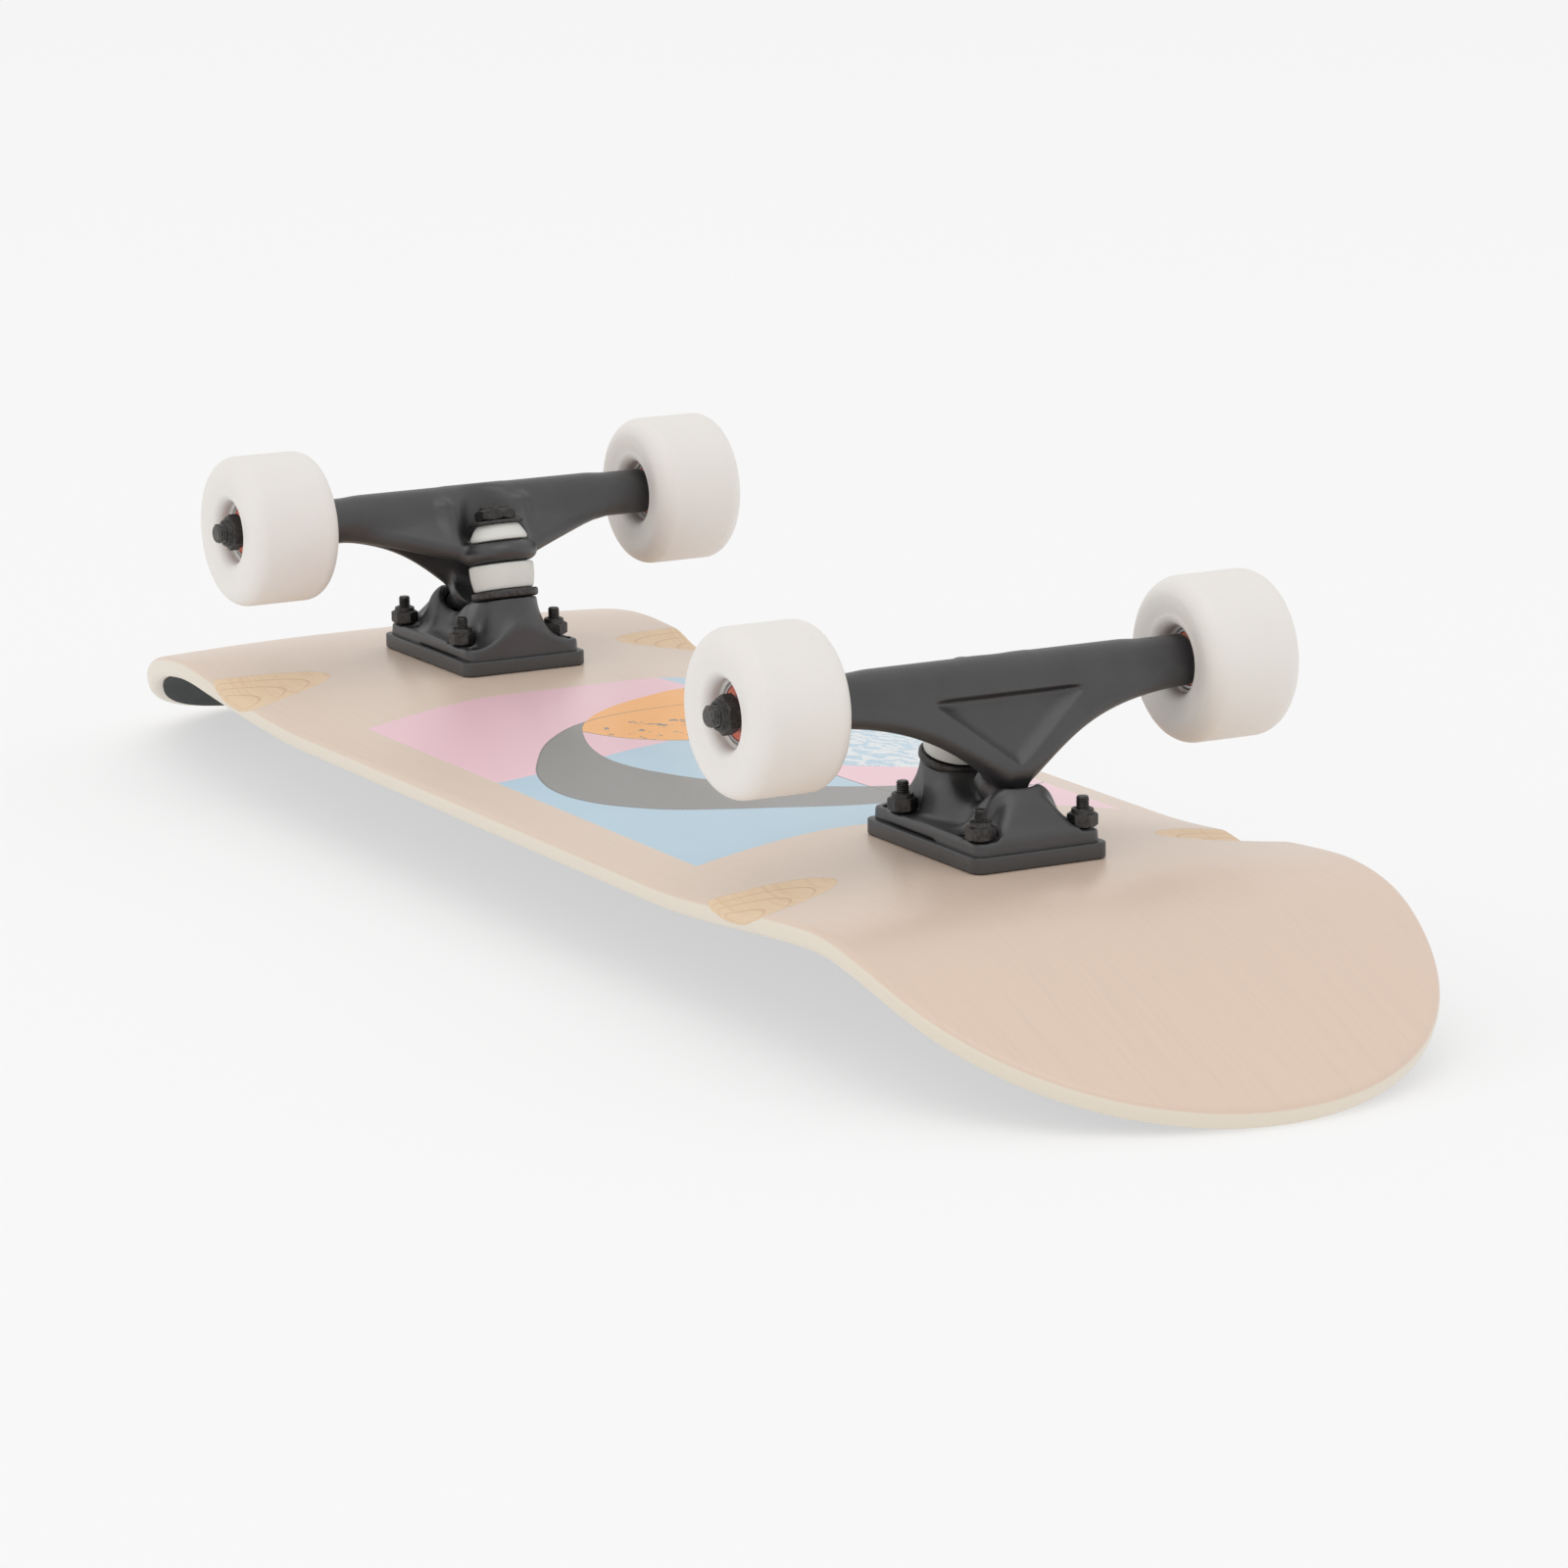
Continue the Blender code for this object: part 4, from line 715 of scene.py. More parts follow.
def lacquered_deck():
    """Stained and lacquered veneer with a printed panel; bare maple and ply lines in the wells."""
    g = Graph("lacquered deck", "deck")
    f = finishes()
    place = g.place()
    x, y, _ = g.parts(place)
    depth = g.attribute("depth")
    cut = g.attribute("cut")

    veneer = veneer_lines(g, place, 0)
    weave = ((x * 0.94 + y * 0.34) * 2100.0).sin()
    tilt = g.noise(place, 9.0, 2.0)
    blush = abs(x).clipped(0.20, 0.38)
    stain = g.mix(f.lacquer, f.blush, 0.35 * blush)
    stain = g.mix(stain, shaded(f.lacquer, 0.90), 0.30 * veneer.clipped(0.45, 0.75))
    stain = g.mix(stain, shaded(f.blush, 0.93), 0.10 * (weave * 0.5 + 0.5) * tilt)
    face = printed_panel(g, place, stain)

    plies = depth * (7 / sizes().thickness)
    ply_line = abs(plies.math("FRACT", plies) - 0.5).clipped(0.47, 0.50)
    rim = g.mix(f.edge, shaded(f.edge, 0.88), 0.25 * ply_line + 0.15 * veneer)

    grain = g.noise(g.stretched(place, (7.0, 150.0, 7.0), 4), 5.0, 6.0, 0.62, 0.9)
    bare = g.mix(f.bare_wood, f.grain, 0.40 * grain.clipped(0.50, 0.78))
    odd = plies.math("FRACT", plies * 0.5) > 0.5
    bare = g.mix(bare, shaded(f.bare_wood, 0.90), 0.40 * odd)
    contour = (cut * (7 / sizes().thickness)).math("FRACT", cut * (7 / sizes().thickness))
    contour = 1 - abs(contour - 0.5).clipped(0.0, 0.5).math("MULTIPLY", 1.0, abs(contour - 0.5).clipped(0.42, 0.47))
    bare = g.mix(g.mix(f.bare_wood, f.grain, 0.45), bare, contour)

    on_rim = depth.clipped(0.0010, 0.0016)
    skin = g.mix(face, rim, on_rim)
    in_well = cut > 0.00002
    tone = g.mix(skin, bare, in_well)
    pores = g.noise(g.stretched(place, (60.0, 1500.0, 60.0)), 1.0, 3.0)
    relief = pores * (0.25 + 0.75 * in_well) + 0.3 * veneer
    return g.finish(
        Base_Color=tone,
        Roughness=0.38 + 0.22 * in_well + 0.06 * veneer,
        Normal=g.bump(relief, 0.00006),
        Coat_Weight=0.35 - 0.35 * in_well,
        Coat_Roughness=0.25,
    )


# ------------------------------------------------------------------------------------------- deck


class DeckShape:
    """The deck as functions of along (from the trucks' middle to the tail) and across."""

    def __init__(self):
        s = sizes()
        self.s = s
        low, high = node_box("deck")
        self.half_width = (high[1] - low[1]) / 2
        self.truck_x = {end: node_centre(f"{end}_riser_pad")[0] for end in ENDS}
        self.middle = (self.truck_x["front"] + self.truck_x["rear"]) / 2
        self.nose_reach = self.middle - low[0]
        self.tail_reach = high[0] - self.middle
        self.flat_z = node_box("rear_riser_pad")[0][2] - 0.0003
        self.nose_angle = self.kick_angle(s.nose_bend_start, s.nose_bend_radius, self.nose_reach)
        self.tail_angle = self.kick_angle(s.tail_bend_start, s.tail_bend_radius, self.tail_reach)

    def kick_angle(self, start, radius, reach):
        """Angle whose arc and straight run together drop by the kick's drop."""
        run, drop = reach - start, self.s.kick_drop
        root = math.sqrt(run * run - 2 * radius * drop + drop * drop)
        return 2 * math.atan(drop / (run + root))

    def kick(self, distance, start, radius, angle):
        """Drop past a bend: radius minus the root of radius squared less run squared, then a slope."""
        run = np.maximum(distance - start, 0)
        arc_run = radius * math.sin(angle)
        on_arc = radius - np.sqrt(radius**2 - np.minimum(run, arc_run) ** 2)
        return on_arc + np.maximum(run - arc_run, 0) * math.tan(angle)

    def height(self, along, across):
        """Height of the face the trucks are bolted to: flat, less the kicks and the concave."""
        s = self.s
        t = np.clip((np.abs(along) - s.fade_start) / (s.fade_end - s.fade_start), 0, 1)
        rise = s.concave + (s.kick_concave - s.concave) * t * t * (3 - 2 * t)
        side = np.maximum(np.abs(across) - s.flat_half_width, 0) / (self.half_width - s.flat_half_width)
        nose = self.kick(-along, s.nose_bend_start, s.nose_bend_radius, self.nose_angle)
        tail = self.kick(along, s.tail_bend_start, s.tail_bend_radius, self.tail_angle)
        return self.flat_z - nose - tail - rise * side**1.5

    def normal(self, along, across):
        """Unit normal of the height, from its slopes over a tenth of a millimetre."""
        step = 0.0001
        slope_x = (self.height(along + step, across) - self.height(along - step, across)) / (2 * step)
        slope_y = (self.height(along, across + step) - self.height(along, across - step)) / (2 * step)
        normal = np.stack([-slope_x, -slope_y, np.ones_like(slope_x)], axis=-1)
        return normal / np.linalg.norm(normal, axis=-1, keepdims=True)

    def well(self, along, across):
        """Underside of the cutters: a cylinder across the board that sinks towards the edge, whose
        height is its axis less the root of radius squared less the distance along squared."""
        s = self.s
        floor = np.full(np.shape(along), np.inf)
        for end in ENDS:
            at = node_centre(f"{end}_axle")[0] - self.middle
            start_z = self.height(np.array(at), np.array(s.well_start))
            edge_z = self.height(np.array(at), np.array(self.half_width)) - s.well_depth
            slope = (edge_z - start_z) / (self.half_width - s.well_start)
            tall = s.well_radius * math.sqrt(1 + slope**2)
            run = np.clip(np.abs(along - at) / s.well_radius, 0, 1)
            sunk = start_z + slope * (np.abs(across) - s.well_start) + tall * (1 - np.sqrt(1 - run**2))
            floor = np.minimum(floor, np.where(run < 1, sunk, np.inf))
        return floor

    def outline_grid(self, inset, fine):
        """Grid over the plan, inset from the outline: rows across, with fine cells at the wells.

        A half square (p to the tip, q across) maps onto a half superellipse: the angle grows round
        the square's side, the size is its larger coordinate, and the rows are spaced by a power of p
        so that they keep an even distance along the edge."""
        s = self.s
        half_width = self.half_width - inset
        edge_from = (s.well_start - 0.006) / half_width
        flat = s.flat_half_width / half_width
        lanes = np.concatenate([
            np.linspace(0, flat, 4)[:-1],
            np.linspace(flat, edge_from, 7)[:-1],
            np.linspace(edge_from, 1, max(int(0.046 / fine), 6)),
        ])
        lanes = np.concatenate([-lanes[:0:-1], lanes])

        def tip(start, reach, fullness, cells):
            p = (np.asarray(cells) ** (fullness / 2))[:, None]
            q = np.abs(lanes)[None, :]
            size = np.maximum(p, q)
            ratio = np.where(p >= q, q / np.maximum(p, 1e-9), 2 - p / np.maximum(q, 1e-9))
            angle = np.pi / 4 * ratio
            out = (reach - inset - start) * size * np.maximum(np.cos(angle), 0) ** (2 / fullness)
            side = half_width * size * np.sin(angle) ** (2 / fullness)
            return start + out, np.sign(lanes)[None, :] * side

        wells = np.linspace(0.01, 0.30, max(int(0.055 / fine), 4))
        nose_cells = np.concatenate([wells, np.linspace(0.30, 1, 46)[1:]])
        nose_x, nose_y = tip(s.nose_taper_start, self.nose_reach, s.nose_fullness, nose_cells)
        tail_x, tail_y = tip(s.tail_taper_start, self.tail_reach, s.tail_fullness, np.linspace(0.02, 1, 40))
        well_front = np.linspace(-s.nose_taper_start, -0.165, max(int(0.032 / fine), 3))
        well_rear = np.linspace(0.165, 0.252, max(int(0.087 / fine), 8))
        middle = np.concatenate([
            well_front, np.linspace(-0.165, 0.165, 50)[1:-1], well_rear,
            np.linspace(0.252, s.tail_taper_start, 8)[1:],
        ])
        middle_x = middle[:, None] + 0 * lanes
        middle_y = half_width * lanes + 0 * middle[:, None]
        along = np.concatenate([-nose_x[::-1], middle_x, tail_x])
        across = np.concatenate([nose_y[::-1], middle_y, tail_y])
        return along, across


def rim_of(grid):
    """The outermost points of a grid, once round, as (points, ...)."""
    return np.concatenate([grid[:-1, 0], grid[-1, :-1], grid[:0:-1, -1], grid[0, :0:-1]])


def sheet(shape, inset, top_drop, bottom_drop, edge, fine, cut_wells):
    """A closed sheet that follows the deck's face between two drops along its normal.

    The rim is a strip whose section is a quarter circle, a straight wall and a quarter circle, in
    the plane of the face's normal and of the direction out of the outline. Returns the points, the
    faces, and for each point its depth under the face and its depth under the wells' cutter."""
    along, across = shape.outline_grid(inset + edge, fine)
    normal = shape.normal(along, across)
    face = np.stack([along, across, shape.height(along, across)], axis=-1)
    rows, columns = along.shape
    top = face - normal * top_drop
    bottom = face - normal * bottom_drop

    rim, rim_normal = rim_of(face), rim_of(normal)
    ahead = np.roll(rim, -1, axis=0) - np.roll(rim, 1, axis=0)
    out = np.cross(ahead, rim_normal)
    out /= np.linalg.norm(out, axis=1, keepdims=True)
    quarter = np.radians(np.linspace(0, 90, 6))
    steps_out = edge * np.concatenate([np.sin(quarter), np.sin(quarter[::-1])])
    upper = top_drop + edge * (1 - np.cos(quarter))
    lower = bottom_drop - edge * (1 - np.cos(quarter[::-1]))
    steps_down = np.concatenate([upper, lower])
    strip = rim[None] + out[None] * steps_out[:, None, None] - rim_normal[None] * steps_down[:, None, None]

    parts = [surface(top), surface(bottom), surface(strip, close_columns=True)]
    points, faces = joined(*parts)
    depth = np.concatenate([
        np.full(rows * columns, top_drop),
        np.full(rows * columns, bottom_drop),
        np.repeat(steps_down, len(rim)),
    ])
    level = shape.well(points[:, 0], points[:, 1])
    cut = np.clip(points[:, 2] - level, -0.02, 0.02)
    if cut_wells:
        points[:, 2] = np.minimum(points[:, 2], level)
    points[:, 0] += shape.middle
    return points, faces, depth, cut


class SKATE_OT_deck(bpy.types.Operator):
    """Builds the pressed deck with its rounded edge and wheel wells"""

    bl_idname = "skate.deck"
    bl_label = "Deck"

    def execute(self, context):
        shape = DeckShape()
        s = shape.s
        points, faces, depth, cut = sheet(shape, 0, 0, s.thickness, s.edge_round, 0.0010, True)
        mesh = new_mesh("deck_board", points, faces, {"depth": depth, "cut": cut})
        add_piece("deck_board", mesh, lacquered_deck(), "deck", crease=50)
        return {"FINISHED"}


class SKATE_OT_grip(bpy.types.Operator):
    """Builds the grip tape on the ridden side"""

    bl_idname = "skate.grip"
    bl_label = "Grip tape"

    def execute(self, context):
        shape = DeckShape()
        s = shape.s
        top = s.thickness + s.grip_gap
        points, faces, _, _ = sheet(shape, s.grip_inset, top, top + 0.0006, 0.0002, 0.006, False)
        mesh = new_mesh("grip_sheet", points, faces)
        add_piece("grip_sheet", mesh, grip_grit(), "grip_tape")
        return {"FINISHED"}


# ----------------------------------------------------------------------------------------- trucks


def rounded_slab(low, high, corner, edge, steps=10):
    """Slab whose outline is a rectangle with round corners and whose edges are rounded: rings of
    the outline, shrunk by the section's inset at each height, closed by a flat middle."""
    centre = (low + high) / 2
    half = (high - low) / 2
    section = [(half[0], -half[2])]
    section = np.concatenate([
        [(half[0] * 0 + 0.5 * min(half[0], half[1]), -half[2])],
        np.stack([edge - edge * np.sin(np.radians(a := np.linspace(0, 90, 5))),
                  -half[2] + edge - edge * np.cos(np.radians(a))], axis=1),
        np.stack([edge - edge * np.cos(np.radians(a)),
                  half[2] - edge + edge * np.sin(np.radians(a))], axis=1),
        [(0.5 * min(half[0], half[1]), half[2])],
    ])
    turn = np.radians(np.linspace(0, 90, steps))
    rings = []
    for inset, height in section:
        r = max(corner - inset, 1e-5)
        reach = np.array([half[0] - inset - r, half[1] - inset - r])
        ring = []
        for quarter, (sx, sy) in enumerate(((1, 1), (-1, 1), (-1, -1), (1, -1))):
            a = turn + quarter * np.pi / 2
            ring.append(np.stack([sx * reach[0] + r * np.cos(a), sy * reach[1] + r * np.sin(a)], axis=1))
        ring = np.concatenate(ring)
        rings.append(np.column_stack([ring, np.full(len(ring), height)]))
    grid = np.stack(rings)
    pole_low = np.zeros_like(grid[:1]) + (0, 0, -half[2])
    pole_high = np.zeros_like(grid[:1]) + (0, 0, half[2])
    points, faces = surface(np.concatenate([pole_low, grid, pole_high]), close_columns=True)
    return points + centre, faces


class TruckFrame:
    """A truck's own frame, and the places in it that the castings are built round."""

    def __init__(self, end):
        self.sign = ENDS[end]
        low, high = node_box(f"{end}_riser_pad")
        self.origin = np.array([(low[0] + high[0]) / 2, 0, low[2] - 0.0003])
        self.turn = np.array([self.sign, self.sign, 1])
        joint = JOINTS[f"{end}_steer"]
        self.ring = self.local(joint["pos_m"])
        steer = np.array(joint["axis"]) * self.turn
        self.steer = unit(steer * -np.sign(steer[2]))
        self.pin = kingpin_direction(end) * self.turn
        self.axle = self.local(node_centre(f"{end}_axle"))
        self.half_width = node_box(f"{end}_hanger")[1][1]
        plate_low, plate_high = node_box(f"{end}_baseplate")
        self.plate_half = np.array([plate_high[0] - plate_low[0], plate_high[1] - plate_low[1]]) / 2
        self.plate_low = plate_low[2] - self.origin[2]
        self.boss_top = self.local(on_axis(f"{end}_lower_washer", kingpin_direction(end))[0])
        self.bolts = [self.local(node_centre(f"{end}_deck_bolt_{n}")) for n in range(1, 5)]

    def local(self, point):
        return (np.asarray(point, float) - self.origin) * self.turn

    def world(self, points):
        return points * self.turn + self.origin


def soft_min(a, b, width):
    """The smaller of two fields, blended into a fillet where they are within a width of each other."""
    h = np.clip(0.5 + 0.5 * (b - a) / width, 0, 1)
    return b + (a - b) * h - width * h * (1 - h)


def soft_max(a, b, width):
    return -soft_min(-a, -b, width)


def ease(value, start, end):
    """0 at start and 1 at end, with a smooth step between."""
    t = np.clip((value - start) / (end - start), 0, 1)
    return t * t * (3 - 2 * t)


def axial(point, centre, axis):
    """Distance along an axis through a centre, and distance from that axis."""
    offset = [p - c for p, c in zip(point, centre)]
    along = sum(o * a for o, a in zip(offset, axis))
    square = sum(o * o for o in offset) - along * along
    return along, np.sqrt(np.maximum(square, 0))


def drum(point, centre, axis, radius, low, high, edge):
    """Field of a cylinder along an axis, its edges rounded: below 0 inside."""
    along, away = axial(point, centre, axis)
    ends = np.maximum(low - along, along - high)
    return soft_max(away - radius, ends, edge)


def taper(x, z, start, start_radius, end, end_radius):
    """Field in a vertical plane of two circles and the straight sides between them: the distance
    to the line that joins their centres, less a radius that goes from one to the other."""
    run_x, run_z = end[0] - start[0], end[1] - start[1]
    square = run_x * run_x + run_z * run_z
    t = np.clip(((x - start[0]) * run_x + (z - start[1]) * run_z) / square, 0, 1)
    away = np.hypot(x - start[0] - t * run_x, z - start[1] - t * run_z)
    return away - (start_radius + (end_radius - start_radius) * t)


def field_shell(field, low, high, cell):
    """The surface where a field worked out on an even grid is 0, as points and four-sided faces."""
    axes = [np.arange(a, b, cell) for a, b in zip(low, high)]
    values = field(np.meshgrid(*axes, indexing="ij"))
    grid = openvdb.FloatGrid(4 * cell)
    grid.copyFromArray(np.ascontiguousarray(values, dtype=np.float32))
    points, _, faces = grid.convertToPolygons(isovalue=0.0, adaptivity=0.0)
    if not len(faces):
        raise RuntimeError("a casting's field has no surface")
    return np.asarray(low) + points * cell, faces


def hanger_field(truck, t):
    """Hanger: a tube, a web that sweeps down to the pivot's stem, and a yoke to the ring.

    The web's section is the hull of the tube's circle and of a foot circle that touches the same
    leaning face. The foot's height rises across the board as 1 less the exponential of minus a
    power of the distance over the spread. A scoop above the ring and the bushing's space under it
    are cut away, and a three-cornered pocket sinks in the face by a hyperbolic tangent of the
    distance from its sides."""

    def field(point):
        x, y, z = point
        wide = np.abs(y)
        axle_x, _, axle_z = truck.axle
        crown = t.hump * (1 - ease(wide, 0.012, 0.016)) * np.clip((z - axle_z) / 0.006, 0, 1)
        tube = np.hypot(x - axle_x, z - axle_z) - t.tube_radius - crown

        steep = math.hypot(1, t.web_lean)
        away = np.maximum(wide - t.web_flat, 0) / t.web_spread
        low = t.web_low + t.web_rise * (1 - np.exp(-away**1.2))
        foot_radius = t.web_radius + t.nose_growth * np.exp(-((wide / 0.014) ** 2))
        foot_z = low + foot_radius
        foot_x = axle_x + (t.tube_radius - foot_radius) * steep - (foot_z - axle_z) * t.web_lean
        web = taper(x, z, (axle_x, axle_z), t.tube_radius, (foot_x, foot_z), foot_radius)

        mouth = truck.ring + truck.steer * t.mouth_distance
        along, away = axial(point, mouth, truck.steer)
        back = np.clip(-along / 0.010, 0, 1)
        cone = soft_max(away - t.stem_radius - 0.0010 - (t.stem_root - t.stem_radius - 0.001) * back,
                        np.maximum(along + 0.0008, -0.015 - along), 0.001)
        stem = drum(point, mouth, truck.steer, t.stem_radius, -0.012, t.stem_length, 0.0015)

        out = np.clip((wide - 0.012) / (t.wing_reach - 0.012), 0, 1)
        ledge_x = truck.ring[0] + 0.0035 + out * (axle_x - 0.0035 - truck.ring[0] - 0.004)
        ledge_z = truck.ring[2] + out**0.9 * (axle_z - truck.ring[2] - 0.0045)
        ledge = taper(x, z, (axle_x, axle_z + 0.001), t.tube_radius - 0.0012, (ledge_x, ledge_z), t.ring_half)
        wing = soft_max(ledge, wide - t.wing_reach - 0.006, 0.010)
        rib_at = np.clip(z, 0.052, 0.0630)
        rib_x = -0.0016 - 0.50 * (0.0630 - rib_at)
        rib = np.sqrt((x - rib_x) ** 2 + (wide - 0.0172) ** 2 + (z - rib_at) ** 2) - 0.0026

        ring = drum(point, truck.ring, truck.pin, t.ring_radius, -t.ring_half, t.ring_half, 0.0060)
        body = soft_min(tube, web, 0.003)
        body = soft_min(body, cone, 0.004)
        body = soft_min(body, wing, 0.004)
        body = soft_min(body, rib, 0.0035)
        scoop = drum(point, truck.ring, truck.pin, t.nut_space, t.ring_half, 0.05, 0.001)
        body = soft_max(body, -scoop, 0.0030)
        space = drum(point, truck.ring, truck.pin, t.bushing_space, -0.05, -t.ring_half, 0.001)
        body = soft_max(body, -space, 0.002)
        body = soft_min(body, ring, 0.002)
        hole = drum(point, truck.ring, truck.pin, t.ring_hole, -0.03, 0.03, 0.001)
        body = soft_max(body, -hole, 0.0012)
        body = soft_min(body, stem, 0.0015)

        slant = math.atan2(t.pocket_top - t.pocket_low, t.pocket_half_width)
        from_side = (t.pocket_half_width - wide) * math.sin(slant) - (t.pocket_top - z) * math.cos(slant)
        inside = soft_min(from_side, 3.0 * (t.pocket_top - z), 0.006)
        sunk = t.pocket_depth * np.tanh(inside / 0.0040)
        face = (x - axle_x + (z - axle_z) * t.web_lean) / steep - t.tube_radius
        body = soft_max(body, face + sunk, 0.0010)
        return soft_max(body, wide - truck.half_width, 0.0015)

    return field


def plate_field(truck, t):
    """Baseplate: a plate, the kingpin's flared boss, the pivot's tent-shaped housing and a saddle
    between them, whose top runs along a cosine, with scallops round the lock nuts."""

    def field(point):
        x, y, z = point
        half_x, half_y = truck.plate_half
        top = truck.plate_low + t.plate_thickness
        corner = t.plate_corner
        out_x = np.maximum(np.abs(x) - half_x + corner, 0)
        out_y = np.maximum(np.abs(y) - half_y + corner, 0)
        plan = np.hypot(out_x, out_y) - corner
        plate = soft_max(soft_max(plan, z - top, 0.0016), truck.plate_low - z, 0.0004)

        along, away = axial(point, truck.boss_top, truck.pin)
        depth = np.maximum(-along, 0) / 0.016
        boss = soft_max(0.95 * (away - t.boss_radius - t.boss_flare * depth**2.4), along + 0.0003, 0.0010)

        mouth = truck.ring + truck.steer * t.mouth_distance
        steer = truck.steer
        s = (x - mouth[0]) * steer[0] + (z - mouth[2]) * steer[2]
        lip_z = mouth[2] + t.housing_radius * steer[0]
        lip_x = mouth[0] - t.housing_radius * steer[2]
        drop = np.maximum(lip_z - z, 0)
        width = 0.0078 + 0.30 * drop + 26 * drop**2
        front = (x - lip_x - 0.0030 - t.housing_front * drop) * 0.83
        sides = soft_max(np.abs(y) - width, z - lip_z, 0.0060)
        housing = soft_max(soft_max(sides, front, 0.0050), -s, 0.0012)

        t_x = np.clip((x - truck.boss_top[0] - 0.010) / (lip_x - truck.boss_top[0] - 0.010), 0, 1)
        dip = top + t.saddle_height
        ridge = dip + (lip_z - dip) * (0.5 + 0.5 * np.cos(2 * np.pi * t_x))
        fall = np.maximum(ridge - z, 0)
        cheek = 0.0098 + 0.0075 * (1 - np.exp(-fall / 0.008))
        saddle = soft_max(np.abs(y) - cheek, z - ridge, 0.0040)
        saddle = soft_max(saddle, np.maximum(truck.boss_top[0] - x, x - lip_x), 0.0030)
        body = soft_min(soft_min(plate, boss, 0.0050), soft_min(housing, saddle, 0.0040), 0.0045)
        body = soft_max(body, plan, 0.0012)

        nose = drum(point, mouth, -steer, t.housing_radius + 0.0004, 0, 0.034, 0.0015)
        seat = drum(point, mouth, steer, 0.0073, -0.02, 0.0107, 0.006)
        body = soft_max(body, -nose, 0.0020)
        body = soft_max(body, -seat, 0.0008)
        pin_way = drum(point, truck.boss_top, truck.pin, 0.00505, -0.04, 0.01, 0.0002)
        head_way = drum(point, truck.boss_top, truck.pin, 0.0084, -0.04, -0.0112, 0.0002)
        body = np.maximum(np.maximum(body, -pin_way), -head_way)
        for bolt in truck.bolts:
            round_bolt = np.hypot(x - bolt[0], y - bolt[1])
            body = soft_max(body, -soft_max(round_bolt - t.nut_scallop, top - z, 0.0005), 0.0012)
            round_spare = np.hypot(x - bolt[0] + t.spare_hole_shift, y - bolt[1])
            body = soft_max(body, -soft_max(round_spare - t.spare_hole, top - 0.003 - z, 0.0005), 0.0006)
            body = np.maximum(body, 0.0027 - round_bolt)
        return body

    return field


def kingpin_direction(end):
    return unit(node_centre(f"{end}_upper_washer") - node_centre(f"{end}_lower_washer"))


def span_along(node, direction):
    """Lowest and highest place of a node's points along a direction."""
    mesh = frame["nodes"][node].data
    points = np.empty(len(mesh.vertices) * 3, np.float32)
    mesh.vertices.foreach_get("co", points)
    places = points.reshape(-1, 3) @ unit(direction)
    return float(places.min()), float(places.max())


def on_axis(node, direction):
    """Centre of a turned node's lower end on its own axis, and its length along it."""
    low, high = span_along(node, direction)
    centre = node_centre(node)
    return centre + unit(direction) * (low - centre @ unit(direction)), high - low


class SKATE_OT_risers(bpy.types.Operator):
    """Builds the two riser pads"""

    bl_idname = "skate.risers"
    bl_label = "Riser pads"

    def execute(self, context):
        material = moulded_riser()
        for end in ENDS:
            node = f"{end}_riser_pad"
            points, faces = rounded_slab(*node_box(node), 0.0042, 0.0005)
            add_piece(f"{end}_riser", new_mesh(f"{end}_riser", points, faces), material, node)
        return {"FINISHED"}


class SKATE_OT_castings(bpy.types.Operator):
    """Builds the baseplates and hangers"""

    bl_idname = "skate.castings"
    bl_label = "Baseplates and hangers"

    def execute(self, context):
        material = painted_casting()
        t = context.scene.skate_truck
        truck = TruckFrame("rear")
        reach = truck.half_width + 2 * t.cell
        hanger = field_shell(hanger_field(truck, t), (-0.035, -reach, 0.012), (0.034, reach, 0.076), t.cell)
        half_x, half_y = truck.plate_half + 2 * t.cell
        low = (-half_x, -half_y, truck.plate_low - 2 * t.cell)
        plate = field_shell(plate_field(truck, t), low, (half_x + t.cell, half_y + t.cell, 0.044), 0.8 * t.cell)
        for end in ENDS:
            place = TruckFrame(end)
            for name, (points, faces) in (("hanger", hanger), ("baseplate", plate)):
                mesh = new_mesh(f"{end}_{name}_casting", place.world(points), faces)
                add_piece(f"{end}_{name}_casting", mesh, material, f"{end}_{name}", crease=60)
        return {"FINISHED"}


